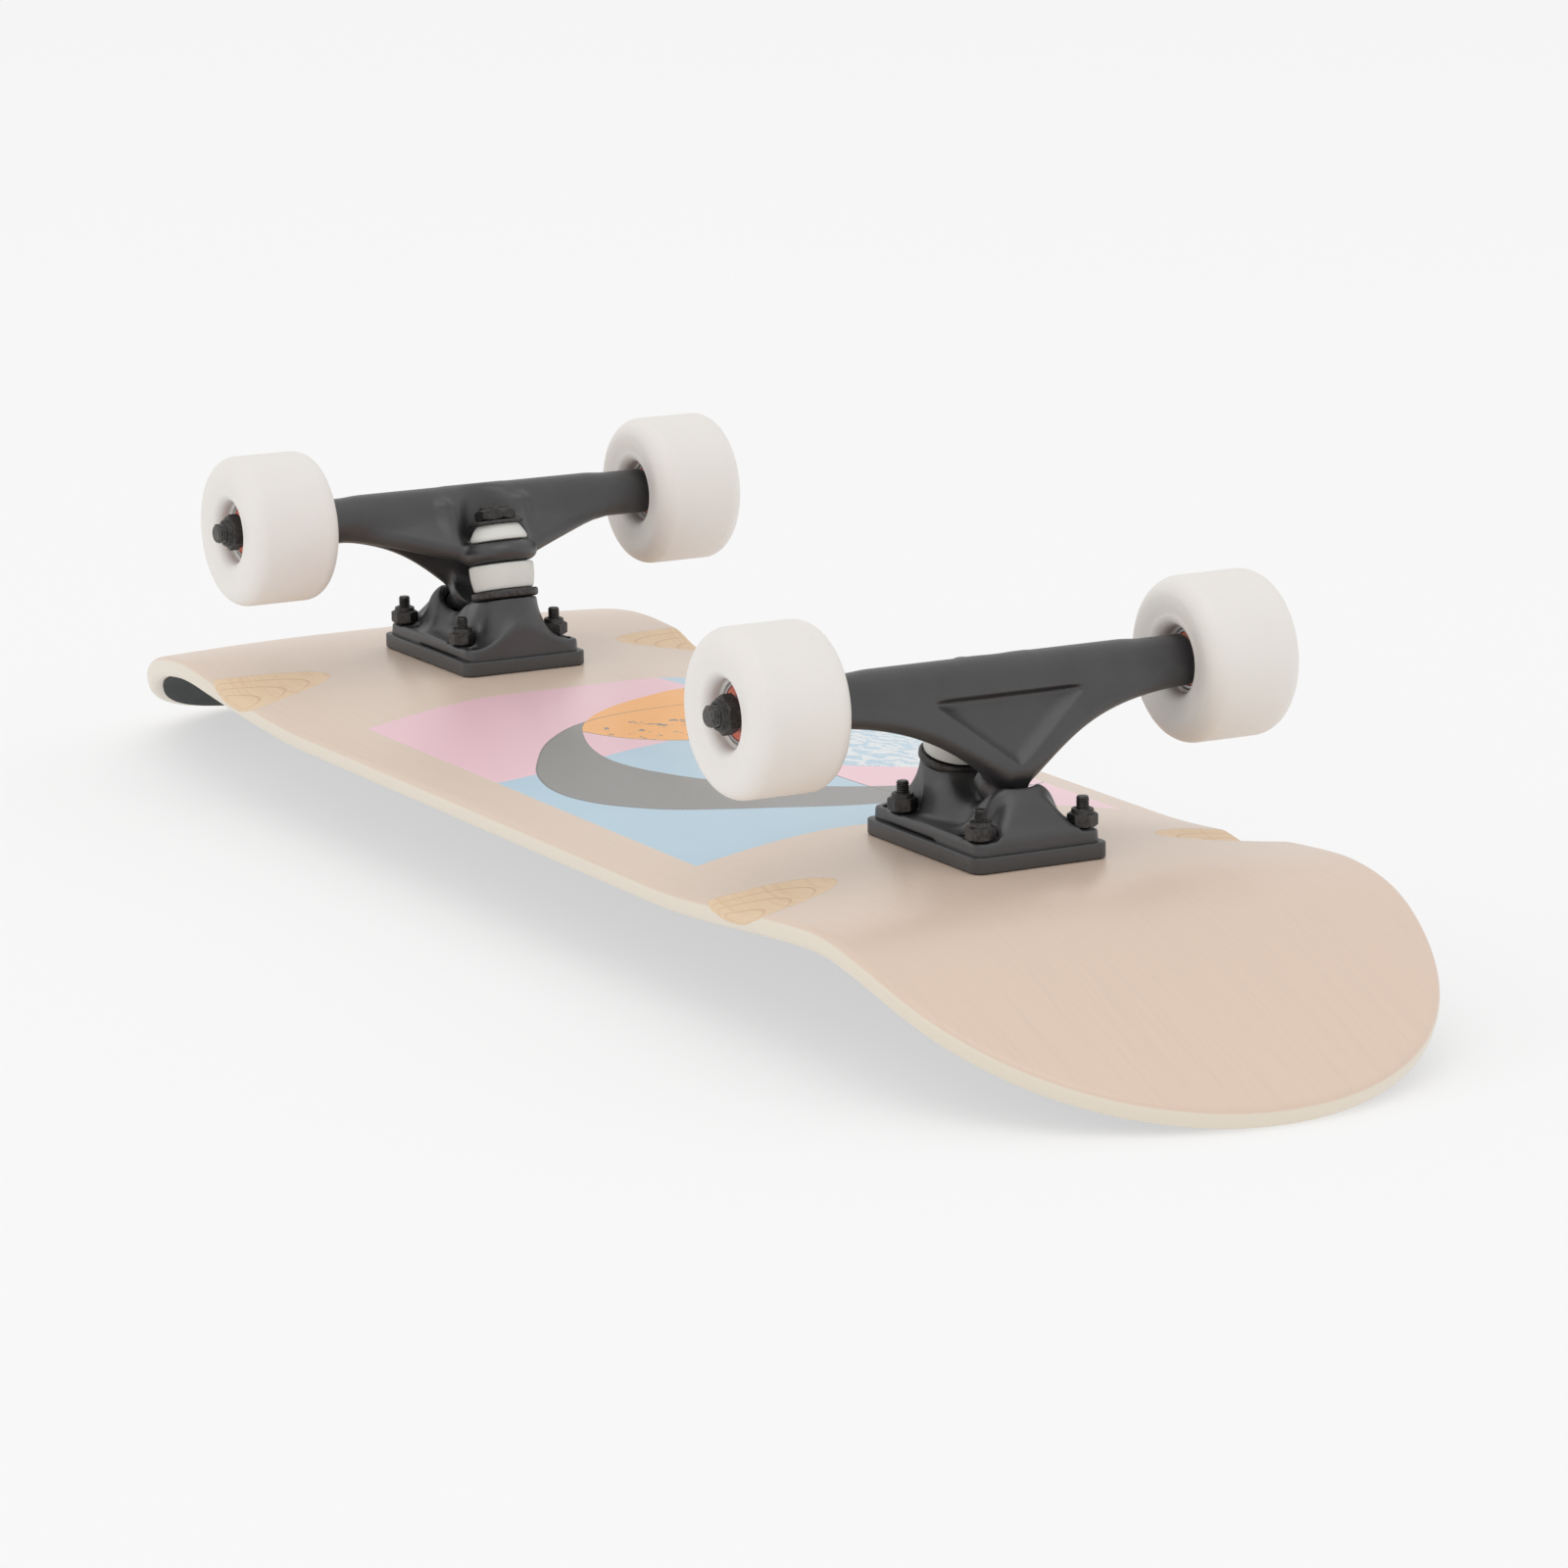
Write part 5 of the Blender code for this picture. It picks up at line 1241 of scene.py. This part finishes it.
class SKATE_OT_kingpins(bpy.types.Operator):
    """Builds the kingpins with their washers, bushings and nuts, and the pivot cups"""

    bl_idname = "skate.kingpins"
    bl_label = "Kingpins and bushings"

    def execute(self, context):
        steel = oxidised_steel("blackened kingpin", "kingpin")
        washer = oxidised_steel("blackened washer", "washer", 1.1)
        rubber = bushing_urethane()
        nylon = nylon_insert()
        bore = 0.0050
        for end in ENDS:
            axis = kingpin_direction(end)
            self.cup_washer(end, axis, washer, bore)
            self.lower_bushing(end, axis, rubber, bore)
            self.upper_bushing(end, axis, rubber, bore)
            self.flat_washer(end, axis, washer, bore)
            seat, _ = on_axis(f"{end}_kingpin_nut", axis)
            tall = 0.0056
            shell = hex_nut(0.0143, bore, tall - 0.0012, (0.0062, 0.0012), seat, axis)
            add_piece(f"{end}_pin_nut", new_mesh(f"{end}_pin_nut", *shell), steel, f"{end}_kingpin_nut", crease=24)
            ring = rounded_ring(bore - 0.0001, 0.0058, tall - 0.0007, tall - 0.0002, 0.0001)
            mesh = new_mesh(f"{end}_pin_nut_insert", *turned(ring, seat, axis))
            add_piece(f"{end}_pin_nut_insert", mesh, nylon, body="deck")
            self.pin(end, axis, steel)
            self.cup(end)
        return {"FINISHED"}

    def cup_washer(self, end, axis, material, bore):
        """Dished washer: a flat floor and a rolled rim that holds the bushing."""
        node = f"{end}_lower_washer"
        seat, tall = on_axis(node, axis)
        outer = 0.0135
        profile = [(bore, 0.0002), (bore + 0.0002, 0), (outer - 0.0014, 0)]
        profile += list(bend((outer - 0.0014, 0.0014), 0.0014, -80, 0, 6))
        profile += list(bend((outer - 0.0007, tall - 0.0007), 0.0007, 0, 170, 8))
        profile += [(outer - 0.0016, tall - 0.0012), (bore + 0.0002, tall - 0.0012), (bore, tall - 0.0014)]
        shell = turned(profile, seat, axis, 72)
        add_piece(f"{end}_cup_washer", new_mesh(f"{end}_cup_washer", *shell), material, node)

    def lower_bushing(self, end, axis, material, bore):
        """Barrel bushing that leans out a little towards its top, its edges rounded."""
        node = f"{end}_lower_bushing"
        seat, tall = on_axis(node, axis)
        t = np.linspace(0, 1, 14)
        side = np.stack([0.0122 + 0.0009 * t + 0.0003 * np.sin(np.pi * t), 0.0009 + (tall - 0.0018) * t], axis=1)
        profile = [(bore, 0.0003), (bore + 0.0003, 0), (0.0113, 0), (0.0119, 0.0003), *side]
        profile += [(0.0128, tall - 0.0003), (0.0121, tall), (bore + 0.0003, tall), (bore, tall - 0.0003)]
        shell = turned(profile, seat, axis, 72)
        across = ("deck", f"{end}_hanger_body", tuple(seat), tuple(seat + axis * tall))
        mesh = new_mesh(f"{end}_barrel_bushing", *shell)
        add_piece(f"{end}_barrel_bushing", mesh, material, node, across=across)

    def upper_bushing(self, end, axis, material, bore):
        """Cone bushing: a short straight foot, a rounded shoulder and a cone to the washer."""
        node = f"{end}_upper_bushing"
        seat, tall = on_axis(node, axis)
        t = np.linspace(0, 1, 12)
        side = np.stack([0.0116 - 0.0026 * t**1.25, 0.0012 + (tall - 0.0018) * t], axis=1)
        profile = [(bore, 0.0003), (bore + 0.0003, 0), (0.0108, 0), (0.0114, 0.0004), *side]
        profile += [(0.0085, tall), (bore + 0.0003, tall), (bore, tall - 0.0003)]
        shell = turned(profile, seat, axis, 72)
        across = (f"{end}_hanger_body", "deck", tuple(seat), tuple(seat + axis * tall))
        mesh = new_mesh(f"{end}_cone_bushing", *shell)
        add_piece(f"{end}_cone_bushing", mesh, material, node, across=across)

    def flat_washer(self, end, axis, material, bore):
        node = f"{end}_upper_washer"
        seat, tall = on_axis(node, axis)
        shell = turned(rounded_ring(bore, 0.0110, 0, tall, 0.0004), seat, axis, 64)
        add_piece(f"{end}_top_washer", new_mesh(f"{end}_top_washer", *shell), material, node)

    def pin(self, end, axis, material):
        """Kingpin: a threaded rod over a hexagonal head, whose corners a cone cuts."""
        node = f"{end}_kingpin"
        low, high = span_along(node, axis)
        centre = node_centre(f"{end}_upper_washer")
        foot = centre + axis * (low - centre @ axis)
        tall = high - low - 0.0033
        rod = threaded_rod(0.00475, 0.00106, 0.002, tall, [(tall - 0.016, tall)], foot, axis, 24)
        head = hex_nut(0.0143, 0.0030, 0.0047, (0.0064, 0.0008), foot, axis)
        mesh = new_mesh(f"{end}_pin", *joined(rod, head))
        add_piece(f"{end}_pin", mesh, material, node, crease=28)

    def cup(self, end):
        """Pivot cup: a thin blind cup round the hanger's stem."""
        node = f"{end}_pivot_cup"
        axis = -np.array(JOINTS[f"{end}_steer"]["axis"])
        ring_centre = np.array(JOINTS[f"{end}_steer"]["pos_m"])
        if axis[2] < 0:
            axis = -axis
        axis = unit(axis)
        low, high = span_along(node, axis)
        foot = ring_centre + axis * (low - ring_centre @ axis)
        tall = high - low
        outer, inner, floor = 0.0069, 0.0053, 0.0016
        profile = [(0, 0), *bend((outer - 0.0030, 0.0030), 0.0030, -90, 0, 8)]
        profile += [(outer, tall - 0.0003), (outer - 0.0003, tall), (inner + 0.0003, tall), (inner, tall - 0.0003)]
        profile += [*bend((inner - 0.0022, floor + 0.0022), 0.0022, 0, -90, 8), (0, floor)]
        shell = turned(profile, foot, axis, 48)
        add_piece(f"{end}_cup_liner", new_mesh(f"{end}_cup_liner", *shell), cup_plastic(), node)


class SKATE_OT_bolts(bpy.types.Operator):
    """Builds the deck bolts with their lock nuts"""

    bl_idname = "skate.bolts"
    bl_label = "Deck bolts"

    def execute(self, context):
        steel = oxidised_steel("blackened bolt", "bolt")
        nylon = nylon_insert()
        up = np.array((0.0, 0.0, 1.0))
        for end in ENDS:
            for number in range(1, 5):
                self.bolt(f"{end}_deck_bolt_{number}", f"{end}_bolt_{number}", up, steel)
                nut = f"{end}_lock_nut_{number}"
                seat, tall = on_axis(nut, up)
                shell = hex_nut(0.0095, 0.0027, 0.0048, (0.0040, tall - 0.0048), seat, up)
                name = f"{end}_nut_{number}"
                add_piece(name, new_mesh(name, *shell), steel, nut, crease=24)
                ring = rounded_ring(0.0026, 0.0036, tall - 0.0006, tall - 0.0001, 0.0001)
                name = f"{end}_nut_insert_{number}"
                add_piece(name, new_mesh(name, *turned(ring, seat, up)), nylon, body="deck")
        return {"FINISHED"}

    def bolt(self, node, name, up, material):
        """Countersunk bolt: its cone's lower face holds a crossed recess, whose depth falls off with
        the smaller distance from the two arms of the cross."""
        foot, tall = on_axis(node, up)
        rod = threaded_rod(0.0024, 0.00079, 0.0012, tall, [(0.012, tall)], foot, up)
        angle = np.linspace(0, 2 * np.pi, 48, endpoint=False)
        radius = np.linspace(0, 0.0046, 20)[:, None]
        x, y = radius * np.cos(angle), radius * np.sin(angle)
        arm = np.minimum(np.abs(x), np.abs(y))
        depth = 0.0014 * np.clip((0.0008 - arm) / 0.0004, 0, 1) * np.clip((0.0028 - radius) / 0.0008, 0, 1)
        face = np.stack([x, y, depth], axis=-1)
        cone = np.array([(0.0046, 0.0), (0.0046, 0.0003), (0.0024, 0.0026), (0.0, 0.0026)])
        side = np.stack([
            cone[:, :1] * np.cos(angle), cone[:, :1] * np.sin(angle), cone[:, 1:] + 0 * angle
        ], axis=-1)
        points, faces = surface(np.concatenate([face, side]), close_columns=True)
        head = lay(points, foot, up), faces
        add_piece(name, new_mesh(name, *joined(rod, head)), material, node, crease=28)


class SKATE_OT_axles(bpy.types.Operator):
    """Builds the axles, their lock nuts and the speed washers"""

    bl_idname = "skate.axles"
    bl_label = "Axles and nuts"

    def execute(self, context):
        axle_steel = oxidised_steel("axle steel", "axle", 1.6)
        nut_steel = oxidised_steel("blackened axle nut", "axle_nut")
        nylon = nylon_insert()
        washer = turned_steel("washer steel", "washer", 0.8)
        across = np.array((0.0, 1.0, 0.0))
        for end in ENDS:
            node = f"{end}_axle"
            foot, tall = on_axis(node, across)
            ends = [(0, 0.017), (tall - 0.017, tall)]
            shell = threaded_rod(0.0040, 0.00106, 0, tall, ends, foot, across, 24)
            name = f"{end}_axle_rod"
            add_piece(name, new_mesh(name, *shell), axle_steel, node, crease=28)
            body = BODY_OF[node]
            for side, sign in SIDES.items():
                nut = f"{end}_{side}_axle_nut"
                outwards = sign * across
                seat, tall_nut = on_axis(nut, outwards)
                shell = hex_nut(0.0127, 0.0043, 0.0050, (0.0053, tall_nut - 0.0050), seat, outwards)
                name = f"{end}_{side}_nut"
                add_piece(name, new_mesh(name, *shell), nut_steel, nut, crease=24)
                ring = rounded_ring(0.0042, 0.0049, tall_nut - 0.0008, tall_nut - 0.0001, 0.0001)
                name = f"{end}_{side}_nut_insert"
                add_piece(name, new_mesh(name, *turned(ring, seat, outwards)), nylon, body=body)
                self.washers(end, side, outwards, washer, body)
        return {"FINISHED"}

    def washers(self, end, side, outwards, material, body):
        """A thin washer in the space outside the outer bearing, and one inside the inner bearing."""
        for place, sign in (("outer", 1), ("inner", -1)):
            bearing = f"{end}_{side}_{place}_bearing"
            seat, _ = on_axis(bearing, outwards * sign)
            wide = span_along(bearing, outwards)
            start = seat + outwards * sign * (wide[1] - wide[0] + 0.00015)
            shell = turned(rounded_ring(0.0042, 0.0062, 0, 0.0010, 0.0002), start, outwards * sign)
            name = f"{end}_{side}_{place}_speed_washer"
            add_piece(name, new_mesh(name, *shell), material, body=body)


class SKATE_OT_wheels(bpy.types.Operator):
    """Builds the wheels"""

    bl_idname = "skate.wheels"
    bl_label = "Wheels"

    def execute(self, context):
        material = wheel_urethane()
        across = np.array((0.0, 1.0, 0.0))
        for end in ENDS:
            for side in SIDES:
                node = f"{end}_{side}_wheel"
                shell = turned(self.profile(), node_centre(node), across, 128)
                name = f"{end}_{side}_tyre"
                add_piece(name, new_mesh(name, *shell), material, node, crease=40)
        return {"FINISHED"}

    def profile(self):
        """Half of the section, then mirrored: tread, round lip, slightly coned side, flared mouth,
        the bearing's seat with its shoulder, and the core between the bearings."""
        radius, half = 0.030, 0.01925
        lip = 0.0074
        tread = [(radius, 0.0), (radius, (half - lip) * 0.5)]
        corner = bend((radius - lip, half - lip), lip, 0, 84, 14)
        side_end = np.array((0.0190, half - 0.0004))
        mouth = bend((0.0164, half - 0.0052), 0.0042, 82, 180, 12)
        seat = [(0.0122, 0.0125), (0.0116, 0.0119), (0.0113, 0.0117)]
        core = [(0.0113, 0.0047), (0.0110, 0.0044), (0.0088, 0.0044), (0.0085, 0.0040)]
        upper = np.concatenate([tread, corner, [side_end], mouth, seat, core])
        lower = upper[:0:-1] * (1, -1)
        return np.concatenate([upper, lower])


class SKATE_OT_bearings(bpy.types.Operator):
    """Builds the bearings and the spacers between them"""

    bl_idname = "skate.bearings"
    bl_label = "Bearings"

    def execute(self, context):
        steel = turned_steel()
        shield = coated_shield()
        spacer = turned_steel("spacer steel", "axle", 0.9)
        across = np.array((0.0, 1.0, 0.0))
        for end in ENDS:
            for side in SIDES:
                for place in ("inner", "outer"):
                    self.bearing(f"{end}_{side}_{place}", across, steel, shield)
                node = f"{end}_{side}_bearing_spacer"
                foot, tall = on_axis(node, across)
                shell = turned(rounded_ring(0.0043, 0.0056, 0, tall, 0.0003), foot, across, 48)
                name = f"{end}_{side}_spacer"
                add_piece(name, new_mesh(name, *shell), spacer, node)
        return {"FINISHED"}

    def bearing(self, prefix, across, steel, shield_material):
        """Outer race, inner race and a pair of shields; the outer race stands for the node."""
        node = f"{prefix}_bearing"
        foot, tall = on_axis(node, across)
        outer = rounded_ring(0.0097, 0.0110, 0, tall, 0.0003)
        name = f"{prefix}_outer_race"
        add_piece(name, new_mesh(name, *turned(outer, foot, across, 72)), steel, node)
        inner = rounded_ring(0.0043, 0.0058, 0.0001, tall - 0.0001, 0.0003)
        name = f"{prefix}_inner_race"
        add_piece(name, new_mesh(name, *turned(inner, foot, across, 48)), steel, body=BODY_OF[node])
        shields = []
        for low, sign in ((0.0005, 1), (tall - 0.0005, -1)):
            profile = [(0.0060, 0.0002), (0.0063, 0.0), (0.0078, 0.0), (0.0080, 0.00012), (0.0090, 0.00012)]
            profile += [(0.0094, 0.0), (0.0096, 0.0001), (0.0096, 0.0006), (0.0060, 0.0006)]
            shields.append(turned(np.array(profile) * (1, sign) + (0, low), foot, across, 72))
        name = f"{prefix}_shields"
        add_piece(name, new_mesh(name, *joined(*shields)), shield_material, body=BODY_OF[node])


# ------------------------------------------------------------------------------------------ stage


def placement(x, y, z, place):
    """Matrix of an object with the given axes and place."""
    rows = [(x[i], y[i], z[i], place[i]) for i in range(3)]
    return Matrix((*rows, (0, 0, 0, 1)))


class SKATE_OT_stage(bpy.types.Operator):
    """Builds the pale floor, the soft light and the camera"""

    bl_idname = "skate.stage"
    bl_label = "Stage"

    def execute(self, context):
        s = context.scene.skate_stage
        self.floor(s.glow)
        self.sky(context.scene, s.sky)
        self.softbox("overhead softbox", (1.6, -1.2, 6.0), 5.0, s.softbox)
        self.softbox("side softbox", (-1.0, -6.0, 3.0), 4.0, s.softbox * 0.3)
        self.camera(context.scene, s)
        context.scene.view_settings.view_transform = "Standard"
        return {"FINISHED"}

    def floor(self, glow):
        """One wide flat grid, lit from behind so that shadows on it stay pale."""
        line = np.linspace(-14, 14, 9)
        x, y = np.meshgrid(line, line, indexing="ij")
        points, faces = surface(np.stack([x, y, 0 * x - 0.00002], axis=-1))
        mesh = bpy.data.meshes.new("floor")
        mesh.from_pydata(points, [], faces)
        g = Graph("studio floor", "floor")
        tone = g.noise(g.place(), 3.0, 2.0)
        pale = finishes().floor
        mesh.materials.append(g.finish(
            Base_Color=g.mix(pale, shaded(pale, 0.995), tone),
            Roughness=0.9,
            Specular_IOR_Level=0.0,
            Emission_Color=(1.0, 1.0, 1.0, 1.0),
            Emission_Strength=glow,
        ))
        floor = bpy.data.objects.new("floor", mesh)
        bpy.context.scene.collection.objects.link(floor)

    def sky(self, scene, strength):
        world = bpy.data.worlds.new("studio")
        world.use_nodes = True
        background = world.node_tree.nodes["Background"]
        background.inputs["Color"].default_value = (1.0, 1.0, 1.0, 1)
        background.inputs["Strength"].default_value = strength
        scene.world = world

    def softbox(self, name, place, size, power):
        light = bpy.data.lights.new(name, "AREA")
        light.shape = "DISK"
        light.size = size
        light.energy = power
        lamp = bpy.data.objects.new(name, light)
        bpy.context.scene.collection.objects.link(lamp)
        away = unit(np.array(place) - np.array((0, 0, 0.06)))
        x = unit(np.cross((0, 1, 0), away))
        y = np.cross(away, x)
        lamp.matrix_world = placement(x, y, away, place)

    def camera(self, scene, s):
        data = bpy.data.cameras.new("camera")
        data.lens = s.lens
        data.sensor_width = 36
        camera = bpy.data.objects.new("camera", data)
        scene.collection.objects.link(camera)
        azimuth, elevation, roll = (math.radians(v) for v in (s.azimuth, s.elevation, s.roll))
        back = np.array([
            math.cos(elevation) * math.sin(azimuth),
            -math.cos(elevation) * math.cos(azimuth),
            math.sin(elevation),
        ])
        right = unit(np.cross((0, 0, 1), back))
        up = np.cross(back, right)
        x = right * math.cos(roll) + up * math.sin(roll)
        y = up * math.cos(roll) - right * math.sin(roll)
        place = np.array(s.target) + back * s.distance
        camera.matrix_world = placement(x, y, back, place)
        scene.camera = camera


# ------------------------------------------------------------------------------------------ panel


OPERATORS = (
    SKATE_OT_deck,
    SKATE_OT_grip,
    SKATE_OT_risers,
    SKATE_OT_castings,
    SKATE_OT_kingpins,
    SKATE_OT_bolts,
    SKATE_OT_axles,
    SKATE_OT_wheels,
    SKATE_OT_bearings,
    SKATE_OT_stage,
)


class SKATE_PT_panel(bpy.types.Panel):
    """Lists the steps of the build"""

    bl_idname = "SKATE_PT_panel"
    bl_label = "Skateboard"
    bl_space_type = "VIEW_3D"
    bl_region_type = "UI"
    bl_category = "Skateboard"

    def draw(self, context):
        column = self.layout.column(align=True)
        for operator in OPERATORS:
            column.operator(operator.bl_idname, text=operator.bl_label)


SETTINGS = {
    "skate_deck": SKATE_PG_deck,
    "skate_truck": SKATE_PG_truck,
    "skate_finishes": SKATE_PG_finishes,
    "skate_stage": SKATE_PG_stage,
}
CLASSES = (*SETTINGS.values(), *OPERATORS, SKATE_PT_panel)


def register():
    for cls in CLASSES:
        bpy.utils.register_class(cls)
    for key, group in SETTINGS.items():
        setattr(bpy.types.Scene, key, bpy.props.PointerProperty(type=group))


def unregister():
    for key in SETTINGS:
        delattr(bpy.types.Scene, key)
    for cls in reversed(CLASSES):
        bpy.utils.unregister_class(cls)


def main():
    register()
    for operator in OPERATORS:
        group, name = operator.bl_idname.split(".")
        getattr(getattr(bpy.ops, group), name)()


if __name__ == "__main__":
    main()
